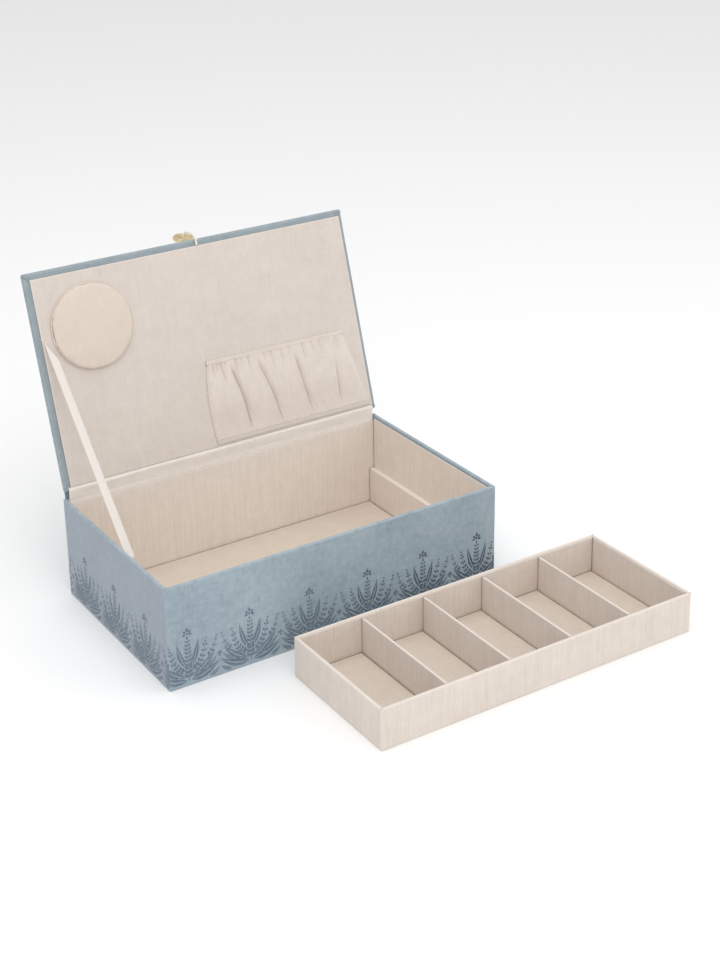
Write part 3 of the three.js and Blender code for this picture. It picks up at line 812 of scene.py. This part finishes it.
def ribbonRows(look):
    # each row is its centre, its run from edge to edge, and its face's normal, in millimetres
    half = look["thick"] / 2
    top = onLid(look["lidLeft"] + look["fromLeft"], look["upLid"], look["seat"] + half) / mm
    foot = Vector((look["wallFace"] + half + look["wide"] / 2, look["boxFront"] + look["fromFront"],
                   look["rimHeight"] - look["belowRim"]))
    length = (foot - top).length
    along = (foot - top).normalized()
    flat = (Vector((1, 0, 0)) - along * along.x).normalized()
    square = along.cross(flat)
    rows = []
    for i in range(look["steps"] + 1):
        share = i / look["steps"]
        turn = math.pi / 2 * smoothStep(share * length, length - look["twist"], length)
        fan = smoothStep(share * length, -look["fan"] / 4, look["fan"])
        wide = flat * math.cos(turn) + square * math.sin(turn)
        centre = top.lerp(foot, share)
        centre.x -= look["wide"] / 2 * (1 - math.cos(turn))
        left, right = centre - wide * look["wide"] / 2, centre + wide * (fan - 0.5) * look["wide"]
        rows.append(((left + right) / 2, right - left, along.cross(wide)))
    facing = (lidPlace.to_3x3() @ Vector((0, 0, 1))).normalized()
    tucked = []
    for k in range(look["tuckSteps"]):  # out from under the lining's left edge, in a point
        share = k / look["tuckSteps"]
        rise = 5.4 + 1.4 * smoothStep(share, 0.1, 0.6)
        under = onLid(look["liningEdge"] + 1.4 * share, look["upLid"] + 6 * (1 - share), rise) / mm
        middle = under.lerp(rows[0][0], share)
        tucked.append((middle, rows[0][1] * (0.4 + 0.6 * share), facing))
    return tucked + rows, top, foot


def makeRibbon(look):
    half, across = look["thick"] / 2, look["across"]
    rows, top, foot = ribbonRows(look)
    steps = len(rows) - 1
    points, spots = [], []
    for face in (1, -1):
        for i, (centre, wide, thick) in enumerate(rows):
            share = max(0, (i - look["tuckSteps"]) / look["steps"])
            for k in range(across + 1):
                u = k / across - 0.5
                cup = look["cup"] * (0.25 - u * u) * math.sin(math.pi * share) ** 0.5
                rounded = half * (1 - (2 * abs(u)) ** 6 * 0.6)
                points.append(centre + wide * u + thick * (face * rounded + cup))
                spots.append((k / across, i / steps * 24))
    ribbon = meshPiece("ribbon_woven", points, sheetFaces(steps, across), satin)
    layer = ribbon.data.uv_layers.new(name="ribbon")
    for loop in ribbon.data.loops:
        layer.data[loop.index].uv = spots[loop.vertex_index]
    softenCreases(ribbon, 70)
    dress(ribbon, None, "lid_stay_ribbon")
    foot, top = foot * mm, top * mm
    foot - (top - foot) * 0.04
    foot + (top - foot) * 0.93
    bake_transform(ribbon)


makeRibbon(ribbonLook)
print("ribbon made")


# Pincushion
cushionLook = {
    "across": 84, "crown": 5, "centre": (-118, 150), "seat": 7.8, "voxel": 2.2, "pressure": 4.0, "move": 0.8,
    "outline": [(0.985, 0), (0.995, 0.15), (0.998, 0.32), (0.985, 0.52), (0.95, 0.68), (0.87, 0.82),
                (0.65, 0.93), (0.3, 0.98)],
}


def latheSolid(profile, sides):
    points = []
    for r, h in profile:
        points += [(r * math.cos(angle), r * math.sin(angle), h) for angle in angles(sides)]
    faces = ringFaces(len(profile), sides)
    foot, top = len(points), len(points) + 1
    points += [(0, 0, profile[0][1]), (0, 0, profile[-1][1] + 0.15)]
    last = (len(profile) - 1) * sides
    for k in range(sides):
        faces.append((foot, (k + 1) % sides, k))
        faces.append((top, last + k, last + (k + 1) % sides))
    return points, faces


def puffPad(pad, look):
    remesh = pad.modifiers.new("remesh", "REMESH")
    remesh.mode, remesh.voxel_size = "VOXEL", look["voxel"] * mm
    asPlainMesh(pad)
    start = [v.co.copy() for v in pad.data.vertices]
    held = pad.vertex_groups.new(name="glued")
    held.add([v.index for v in pad.data.vertices if v.co.z < 0.6 * mm], 1, "REPLACE")
    cloth = pad.modifiers.new("cloth", "CLOTH")
    cloth.settings.use_pressure = True
    cloth.settings.uniform_pressure_force = look["pressure"]
    cloth.settings.effector_weights.gravity = 0
    cloth.settings.vertex_group_mass = "glued"
    cloth.settings.quality = 6
    cloth.settings.tension_stiffness = cloth.settings.compression_stiffness = 30
    for step in range(1, 21):
        scene.frame_set(step)
    asPlainMesh(pad)
    scene.frame_set(1)
    for vertex, at in zip(pad.data.vertices, start):
        moved = vertex.co - at
        if moved.length > look["move"] * mm:
            vertex.co = at + moved.normalized() * look["move"] * mm
    pad.vertex_groups.clear()


def makePincushion(look):
    radius = look["across"] / 2
    centreX, centreY = look["centre"]
    points, faces = latheSolid([(r * radius, h * look["crown"]) for r, h in look["outline"]], 96)
    pad = meshPiece("pincushion_stuffed", points, faces, padLinen)
    puffPad(pad, look)
    smooth = pad.modifiers.new("smooth", "SUBSURF")
    smooth.levels = smooth.render_levels = 1
    asPlainMesh(pad)
    for vertex in pad.data.vertices:
        x, y, z = (c / mm for c in vertex.co)
        out = math.hypot(x, y)
        angle = math.atan2(y, x)
        side = smoothStep(out, radius * 0.8, radius * 0.97)
        pucker = 0.07 * side * (math.cos(46 * angle) + 0.6 * math.cos(29 * angle + 1)) * smoothStep(z, 0.4, 2)
        soft = 0.35 * (1 - side) * rough(x / 15, y / 15, 2) * smoothStep(z, 2.5, 4.5)
        scale = min(1, (radius - 0.1) / max(out, 1e-6)) * (1 + pucker / radius)
        rise = min(max(z, 0) + soft, look["crown"] + 0.4)
        vertex.co = onLid(centreX + x * scale, centreY + y * scale, look["seat"] + rise)
    pad.data.shade_smooth()
    dress(pad, "lid", "pincushion_pad")
    welt = []
    for angle in angles(240):
        x, y = (radius - 1) * math.cos(angle), (radius - 1) * math.sin(angle)
        welt.append(Vector((centreX + x, centreY + y, look["seat"] - 0.45)))
    points, faces = tube(welt, 10, lambda i, angle: 0.95 * (1 + 0.12 * math.cos(i * 1.9 + angle * 2)), True)
    seam = meshPiece("pincushion_seam", points, faces, padLinen, lidPlace)
    dress(seam, "lid")


makePincushion(cushionLook)
print("pincushion made")


# Pocket on the lid
pocketLook = {
    "left": -11, "wide": 182, "topWide": 159.6, "topInset": 3.7, "sideBow": 3, "foot": 6.2, "leftTop": 90.2,
    "rightTop": 88.6, "cloth": 0.6, "bulge": 2.7, "foldDepth": 2.3, "casing": 4.4, "casingThick": 1.8,
    "hem": 3.6, "hemThick": 0.9, "overHem": 0.3, "seat": 6.7, "columns": 360, "rows": 70,
}
# Folds, as shares of the pocket: x, y at the top, x, y at the foot, depth, bow
pocketFolds = [
    (0.155, 0.95, 0.226, 0.04, 1, 0.026), (0.345, 0.95, 0.424, 0.02, 0.85, 0.022),
    (0.615, 0.92, 0.626, 0.06, 0.8, 0), (0.87, 0.66, 0.819, 0.1, 0.6, 0), (0.09, 1, 0.127, 0.7, 0.55, 0),
    (0.035, 1, 0.05, 0.8, 0.4, 0), (0.062, 1, 0.078, 0.84, 0.35, 0), (0.12, 1, 0.135, 0.86, 0.35, 0),
    (0.195, 1, 0.21, 0.8, 0.4, 0), (0.235, 1, 0.25, 0.86, 0.3, 0), (0.285, 1, 0.3, 0.78, 0.4, 0),
    (0.4, 1, 0.41, 0.82, 0.35, 0), (0.45, 1, 0.465, 0.74, 0.4, 0), (0.52, 1, 0.53, 0.8, 0.35, 0),
    (0.575, 1, 0.58, 0.84, 0.3, 0), (0.68, 1, 0.685, 0.76, 0.4, 0), (0.75, 1, 0.75, 0.82, 0.3, 0),
    (0.81, 1, 0.805, 0.78, 0.35, 0), (0.93, 1, 0.925, 0.76, 0.3, 0),
]


def foldShape(s, t):
    # how far the folds draw the cloth in, and how much shade is painted in their creases
    drop, dark = 0, 0
    for topX, topY, footX, footY, depth, bow in pocketFolds:
        along = min(max((topY - t) / (topY - footY), 0), 1)
        aside = s - (topX + (footX - topX) * along + bow * math.sin(math.pi * along))
        if abs(aside) > 0.08:
            continue
        depth *= smoothStep(t, footY - 0.05, footY + 0.14)
        if topY < 1:
            depth *= 1 - smoothStep(t, topY - 0.2, topY + 0.03)
        breadth = 0.0052 if aside < 0 else 0.021
        drop += depth * (bell(aside, 0, breadth) - 0.32 * bell(aside, -0.013, 0.0075))
        dark += depth * (bell(aside, 0.001, 0.0055) + 0.3 * bell(aside, 0.008, 0.012))
    return drop, dark


def pocketTop(s):
    return pocketLook["leftTop"] + (pocketLook["rightTop"] - pocketLook["leftTop"]) * s


def pocketAcross(s, t):
    look = pocketLook
    left = look["left"] + look["topInset"] * t - look["sideBow"] * (1 - s) * math.sin(math.pi * t)
    return left + s * (look["wide"] + (look["topWide"] - look["wide"]) * t)


def pocketLift(s, t):
    look = pocketLook
    sides = smoothStep(s, 0, 0.035) * (1 - smoothStep(s, 0.965, 1))
    rolled = 0.4 * bell(s, 0.014, 0.007) * smoothStep(t, 0, 0.1)
    swell = look["bulge"] * smoothStep(t, 0, 0.5) * (1 - 0.5 * smoothStep(t, 0.6, 1))
    gathers = 0.5 * smoothStep(t, 0.66, 1) * (rough(s * 55, t * 1.2, 4) + 0.6 * rough(s * 120, t * 2, 7))
    slack = 0.55 * rough(s * 9 + t * 2, t * 3.5, 1) * math.sin(math.pi * t)
    return sides * max(0, swell + gathers + slack - look["foldDepth"] * foldShape(s, t)[0]) + rolled


def makeCloth(look):
    foot = look["foot"] + look["hem"] + look["overHem"]
    columns, rows = look["columns"], look["rows"]
    points, creaseShade = [], []
    for lift in (0, look["cloth"]):
        for j in range(rows + 1):
            t = j / rows
            for i in range(columns + 1):
                s = i / columns
                top = pocketTop(s) - look["casing"] + 0.6
                z = look["seat"] + pocketLift(s, t) + lift
                points.append((pocketAcross(s, t), foot + (top - foot) * t, z))
                # painted shade in the fold creases, and faintly along the pocket's rims
                rims = max(1 - smoothStep(t, 0, 0.02), 1 - smoothStep(s, 0, 0.004), smoothStep(s, 0.996, 1))
                creaseShade.append(min(1, 0.62 * foldShape(s, t)[1] + 0.06 * rims))
    faces = sheetFaces(rows, columns)
    pocket = meshPiece("pocket_gathered", points, faces, pocketLinen, lidPlace, creaseShade=creaseShade)
    softenCreases(pocket, 75)
    dress(pocket, "lid", "pocket_cloth")
    return pocket


def makeCasing(look):
    slope = math.atan2(look["rightTop"] - look["leftTop"], look["topWide"])
    along = Vector((math.cos(slope), math.sin(slope), 0))
    up = Vector((-along.y, along.x, 0))
    high, deep = look["casing"] / 2, look["casingThick"] / 2
    middle = Vector((look["left"] + look["topInset"] + look["topWide"] / 2,
                     (look["leftTop"] + look["rightTop"]) / 2 - high, look["seat"] + deep))
    points, creaseShades, sides, steps = [], [], 20, 420
    for i in range(steps + 1):
        share = i / steps
        ruche = 0.16 * rough(share * 70, 0, 3) + 0.1 * rough(share * 150, 0, 5)
        for angle in angles(sides):
            c, s = math.cos(angle), math.sin(angle)
            across = math.copysign(abs(c) ** 0.45, c) * (high + ruche * 0.4)
            thick = Vector((0, 0, math.copysign(abs(s) ** 0.6, s) * (deep + ruche * (s > 0))))
            points.append(middle + along * (share - 0.5) * look["topWide"] + up * across + thick)
            # painted shade along the casing's upper and lower edges
            creaseShades.append(smoothStep(abs(c), 0.9, 1) * 0.2)
    faces = ringFaces(steps + 1, sides)
    faces += [tuple(range(sides)), tuple(steps * sides + k for k in range(sides))]
    casing = meshPiece("pocket_casing_ruched", points, faces, pocketLinen, lidPlace, creaseShade=creaseShades)
    dress(casing, "lid", "pocket_casing")
    return casing


def makePocket(look):
    pocket, casing = makeCloth(look), makeCasing(look)
    low = (look["left"], look["foot"], look["seat"])
    high = (look["left"] + look["wide"], look["foot"] + look["hem"], look["seat"] + look["hemThick"])
    hem = coveredCard("pocket_hem_tape_sewn", "pocket_hem_tape", "lid", low, high,
                      lidPlace, lidLinen, 0.35, 0.8)


makePocket(pocketLook)
print("pocket made")


# Stitches, set along lines by a node tree
def makeTree(name, **inputs):
    tree = bpy.data.node_groups.new(name, "GeometryNodeTree")
    for label, kind in {"Geometry": "Geometry", **inputs}.items():
        tree.interface.new_socket(label, in_out="INPUT", socket_type="NodeSocket" + kind)
    tree.interface.new_socket("Geometry", in_out="OUTPUT", socket_type="NodeSocketGeometry")
    return tree, tree.nodes.new("NodeGroupInput").outputs


def closeTree(tree, placed, material):
    real = addNode(tree, "GeometryNodeRealizeInstances", {"Geometry": placed.outputs[0]})
    dressed = addNode(tree, "GeometryNodeSetMaterial", {"Geometry": real.outputs[0], "Material": material})
    addNode(tree, "NodeGroupOutput", {0: dressed.outputs[0]})
    return tree


def applyTree(piece, tree, values):
    modifier = piece.modifiers.new(tree.name, "NODES")
    modifier.node_group = tree
    for item in tree.interface.items_tree:
        if item.item_type == "SOCKET" and item.in_out == "INPUT" and item.name in values:
            modifier[item.identifier] = values[item.name]
    return asPlainMesh(piece)


def stitchTree():
    tree, given = makeTree("stitches", Spacing="Float", Length="Float", Thickness="Float", Thread="Material")
    line = addNode(tree, "GeometryNodeMeshToCurve", {"Mesh": given["Geometry"]})
    length = {"Curve": line.outputs[0], "Length": given["Spacing"]}
    spaced = addNode(tree, "GeometryNodeResampleCurve", length, {"mode": "LENGTH"})
    thread = {"X": given["Length"], "Y": given["Thickness"], "Z": given["Thickness"]}
    size = addNode(tree, "ShaderNodeCombineXYZ", thread)
    bead = addNode(tree, "GeometryNodeMeshUVSphere", {"Segments": 7, "Rings": 5, "Radius": 0.5})
    tangent = addNode(tree, "GeometryNodeInputTangent", {})
    aim = addNode(tree, "FunctionNodeAlignRotationToVector", {"Vector": tangent.outputs[0]}, {"axis": "X"})
    placed = addNode(tree, "GeometryNodeInstanceOnPoints", {
        "Points": spaced.outputs[0], "Instance": bead.outputs[0],
        "Rotation": aim.outputs[0], "Scale": size.outputs[0],
    })
    return closeTree(tree, placed, given["Thread"])


stitchLook = {"Spacing": 2.5 * mm, "Length": 1.7 * mm, "Thickness": 0.42 * mm}


def seamLines(look):
    foot = look["foot"] + look["hem"] + look["overHem"]
    for s in (0.0073, 0.9927):
        top = pocketTop(s) - look["casing"] - 0.3
        yield [(pocketAcross(s, k / 40) + 0.2 * math.sin(k / 2.2), foot + (top - foot) * k / 40,
                look["seat"] + look["cloth"] + 0.1 + pocketLift(s, k / 40)) for k in range(41)]
    left, right = look["left"] + 0.7, look["left"] + look["wide"] - 0.7
    hemFace = look["seat"] + look["hemThick"] + 0.08
    yield [(left + (right - left) * k / 90, look["foot"] + 2.5 + 0.12 * math.sin(k / 3), hemFace)
           for k in range(91)]
    left = look["left"] + look["topInset"] + 0.7
    right = left + look["topWide"] - 1.4
    casingFace = look["seat"] + look["casingThick"] + 0.06
    for drop in (0.9, 3.5):
        yield [(left + (right - left) * k / 90, pocketTop(k / 90) - drop + 0.1 * math.sin(k / 2), casingFace)
               for k in range(91)]


def makeStitches():
    points, edges = [], []
    for line in seamLines(pocketLook):
        edges += [(len(points) + k, len(points) + k + 1) for k in range(len(line) - 1)]
        points += line
    mesh = bpy.data.meshes.new("pocket_stitches")
    mesh.from_pydata([onLid(*p) for p in points], edges, [])
    stitches = bpy.data.objects.new("pocket_stitches", mesh)
    scene.collection.objects.link(stitches)
    applyTree(stitches, stitchTree(), {**stitchLook, "Thread": seamThread})
    stitches.data.shade_smooth()
    dress(stitches, "lid")


seamThread = linenCloth("linen_thread", lidLean, tone(196, 182, 166), tone(230, 219, 206))
makeStitches()
print("stitches made")


# Printed border: one spray, repeated by a node tree and wrapped round the walls
borderLook = {
    "count": 18, "first": 19.4, "lift": 0.07, "corner": 1.3, "foot": 2.5, "length": 356, "depth": 210,
}


class Spray:
    # A flat drawing in complex numbers, in millimetres. Later shapes stop short of earlier ones
    def __init__(self, gap=0.32):
        self.points, self.faces, self.taken, self.gap = [], [], [], gap

    def fill(self, rows):
        for first, second in zip(rows, rows[1:]):
            for k in range(len(first) - 1):
                quad = [first[k], first[k + 1], second[k + 1], second[k]]
                middle = sum(quad) / 4
                if all(abs(middle - centre) > radius + self.gap for centre, radius in self.taken):
                    self.faces.append(tuple(range(len(self.points), len(self.points) + 4)))
                    self.points += quad

    def leaf(self, base, tip, width, bend=0.0, vein=0.16, taken=None):
        run = tip - base
        control = (base + tip) / 2 + 1j * run / abs(run) * bend
        steps = max(7, int(abs(run) / 1.1))
        left, right, discs = [], [], []
        for k in range(steps + 1):
            t = k / steps
            at = base * (1 - t) ** 2 + control * 2 * t * (1 - t) + tip * t * t
            way = (control - base) * (1 - t) + (tip - control) * t
            out = 1j * way / abs(way)
            half = width * math.sin(math.pi * min(max(t, 0.012), 0.988) ** 0.74)
            stops = [half * vein, half * (1 + vein) / 2, half] if width > 1.2 else [half * vein, half]
            left.append([at + out * stop for stop in stops])
            right.append([at - out * stop for stop in reversed(stops)])
            discs.append((at, half))
        self.fill(left)
        self.fill(right)
        (self.taken if taken is None else taken).extend(discs)

    def stem(self, path, wide, thin, taken):
        rows = []
        for k, at in enumerate(path):
            way = path[min(k + 1, len(path) - 1)] - path[max(k - 1, 0)]
            half = (wide + (thin - wide) * k / (len(path) - 1)) / 2
            rows.append([at + 1j * way / abs(way) * half, at - 1j * way / abs(way) * half])
            taken.append((at, half))
        self.fill(rows)

    def bud(self, centre, radius):
        ring = [centre + cmath.rect(radius, 2 * math.pi * k / 10) for k in range(11)]
        self.fill([[centre] * 11, ring])
        self.taken.append((centre, radius))

    def frond(self, path, pairs, size, slim=0.3):
        own = []
        curve = smoothPath(path, 14)
        self.stem(curve, 1.0, 0.45, own)
        for k in range(pairs):
            share = 0.1 + 0.84 * k / (pairs - 1)
            i = min(int((len(curve) - 1) * share), len(curve) - 2)
            way = (curve[i + 1] - curve[i]) / abs(curve[i + 1] - curve[i])
            reach = size * (1 - 0.5 * share)
            for side in (-1, 1):
                foot = curve[i] + 1j * way * side * 0.55
                tip = foot + way * cmath.rect(reach, side * 0.72)
                self.leaf(foot, tip, reach * slim, 0.45 * side, 0, own)
        way = curve[-1] - curve[-2]
        self.leaf(curve[-1], curve[-1] + way / abs(way) * size * 0.55, size * 0.17, 0, 0, own)
        self.taken += own


sprayLook = {
    "leaves": [  # base, tip, half width, bend
        (2.4 + 3.4j, 31 + 14.6j, 3.6, -6.2), (3.4 + 6.6j, 27 + 26j, 3.2, -4.6),
        (2.6 + 17j, 10.6 + 43j, 2.5, -2.8), (20.5 + 0.7j, 30.9 + 7.4j, 1.7, -1.8),
        (15.5 + 9.6j, 28.8 + 19.8j, 1.6, -2.2),
    ],
    "fronds": [  # path, pairs, size
        ([5 + 11j, 9.8 + 17j, 14.6 + 25j, 17.4 + 36j], 6, 5.2),
        ([19.6 + 21.5j, 23 + 25.5j, 26 + 30.5j, 28 + 37j], 4, 3.4),
    ],
    "flower": [(56.5j, 1.5), (4.3 + 53.2j, 1.35), (-4.3 + 53.2j, 1.35), (5.4 + 48.8j, 1.2),
               (-5.4 + 48.8j, 1.2)],
    "heart": 50.2j, "between": 31.44 + 18.6j,
}


def drawSpray(look):
    spray = Spray()
    for tip, width in look["flower"]:
        spray.leaf(look["heart"] + (tip - look["heart"]) * 0.3, tip, width, 0, 0)
    spray.bud(look["heart"], 1.3)
    spray.frond([2.5j, 17j, 31j, 44.5j], 10, 6.2, 0.25)
    for side in (1, -1):
        def onSide(at):
            return complex(at.real * side, at.imag)
        for base, tip, width, bend in look["leaves"]:
            spray.leaf(onSide(base), onSide(tip), width, bend * side)
        for path, pairs, size in look["fronds"]:
            spray.frond([onSide(at) for at in path], pairs, size)
            spray.bud(onSide(path[-1] + cmath.rect(size * 0.9, 1.35)), 0.95)
    spray.bud(look["between"], 1.1)
    for away in (5.4j, -2.4 + 3.4j, 2.4 + 3.4j):
        spray.leaf(look["between"] + away * 0.35, look["between"] + away, 0.9, 0, 0)
    return spray


def borderTree():
    tree, given = makeTree("printed_border", Count="Int", Pitch="Vector", Start="Vector", Print="Material")
    spots = {"Count": given["Count"], "Start Location": given["Start"], "Offset": given["Pitch"]}
    line = addNode(tree, "GeometryNodeMeshLine", spots)
    sprays = {"Points": line.outputs[0], "Instance": given["Geometry"]}
    return closeTree(tree, addNode(tree, "GeometryNodeInstanceOnPoints", sprays), given["Print"])


def ontoWalls(run, look):
    length, depth, corner = look["length"], look["depth"], look["corner"]
    sides = [length, depth, length, depth]
    run %= 2 * (length + depth)
    k = 0
    while run > sides[k]:
        run -= sides[k]
        k += 1
    ahead = Vector(((1, 0), (0, 1), (-1, 0), (0, -1))[k])
    out = Vector((ahead.y, -ahead.x))
    sx, sy = ((-1, -1), (1, -1), (1, 1), (-1, 1))[k]
    start = Vector((sx * length / 2, sy * depth / 2))
    reach = min(run, sides[k] - run)
    if reach >= corner:
        return start + ahead * run + out * look["lift"]
    nearStart = run < corner
    angle = (1 - reach / corner) * math.pi / 4
    middle = start + ahead * (corner if nearStart else sides[k] - corner) - out * corner
    facing = out * math.cos(angle) + ahead * math.sin(angle) * (-1 if nearStart else 1)
    return middle + facing * (corner + look["lift"])


def makeBorder(look):
    spray = drawSpray(sprayLook)
    around = 2 * (look["length"] + look["depth"])
    flat = [(at.real, at.imag, 0) for at in spray.points]
    border = meshPiece("printed_border", flat, spray.faces, printedCloth, closed=False, smooth=False)
    pitch = around / look["count"]
    start = (look["first"] * mm, look["foot"] * mm, 0)
    applyTree(border, borderTree(), {"Count": look["count"], "Pitch": (pitch * mm, 0, 0), "Start": start,
                                     "Print": printedCloth})
    work = bmesh.new()
    work.from_mesh(border.data)
    bmesh.ops.remove_doubles(work, verts=work.verts, dist=1e-7)
    bmesh.ops.dissolve_degenerate(work, dist=1e-7, edges=work.edges)
    length, depth, corner = look["length"], look["depth"], look["corner"]
    for at in (0, length, length + depth, 2 * length + depth, around):
        for step in (-1, -0.5, 0, 0.5, 1):
            cut = {"plane_co": ((at + step * corner) * mm, 0, 0), "plane_no": (1, 0, 0), "dist": 1e-7}
            bmesh.ops.bisect_plane(work, geom=[*work.verts, *work.edges, *work.faces], **cut)
    for vertex in work.verts:
        spot = ontoWalls(vertex.co.x / mm, look)
        vertex.co = Vector((spot.x * mm, spot.y * mm, vertex.co.y))
    bmesh.ops.recalc_face_normals(work, faces=work.faces)
    for face in work.faces:
        centre = face.calc_center_median()
        onEnd = abs(centre.x) > (length / 2 - 0.5) * mm
        if (face.normal.x * centre.x if onEnd else face.normal.y * centre.y) < 0:
            face.normal_flip()
    work.to_mesh(border.data)
    work.free()
    border.data.shade_flat()
    dress(border, "box")


makeBorder(borderLook)
print("border made")


# Floor and light
lightLook = {
    "key": {"place": (-0.6, -1.8, 2.3), "size": 2, "power": 19},
    "fill": {"place": (1.7, -1.3, 1.2), "size": 2, "power": 5},
    "top": {"place": (-0.3, -0.1, 2.6), "size": 2, "power": 14},
}
studioLook = {"aim": (0.02, -0.05, 0.1), "reach": 40, "sky": 0.8}


def makeStudio(lights):
    mesh = bpy.data.meshes.new("studio_floor")
    reach = studioLook["reach"]
    corners = [(-reach, -reach, 0), (reach, -reach, 0), (reach, reach, 0), (-reach, reach, 0)]
    mesh.from_pydata(corners, [], [(0, 1, 2, 3)])
    floor = bpy.data.objects.new("studio_floor", mesh)
    scene.collection.objects.link(floor)
    bench = Bench("studio_floor", Specular_IOR_Level=0.1)
    mesh.materials.append(bench.finish(tone(246, 246, 246), 0.9))
    for name, look in lights.items():
        lamp = bpy.data.lights.new(name, "AREA")
        lamp.shape, lamp.size, lamp.energy = "DISK", look["size"], look["power"]
        holder = bpy.data.objects.new(name, lamp)
        holder.location = look["place"]
        holder.rotation_mode = "QUATERNION"
        aim = Vector(look["place"]) - Vector(studioLook["aim"])
        holder.rotation_quaternion = aim.to_track_quat("Z", "Y")
        scene.collection.objects.link(holder)
    scene.world = scene.world or bpy.data.worlds.new("world")
    scene.world.use_nodes = True
    sky = scene.world.node_tree.nodes["Background"]
    sky.inputs["Color"].default_value = (1, 1, 1, 1)
    sky.inputs["Strength"].default_value = studioLook["sky"]
    scene.view_settings.view_transform = "Standard"


makeStudio(lightLook)
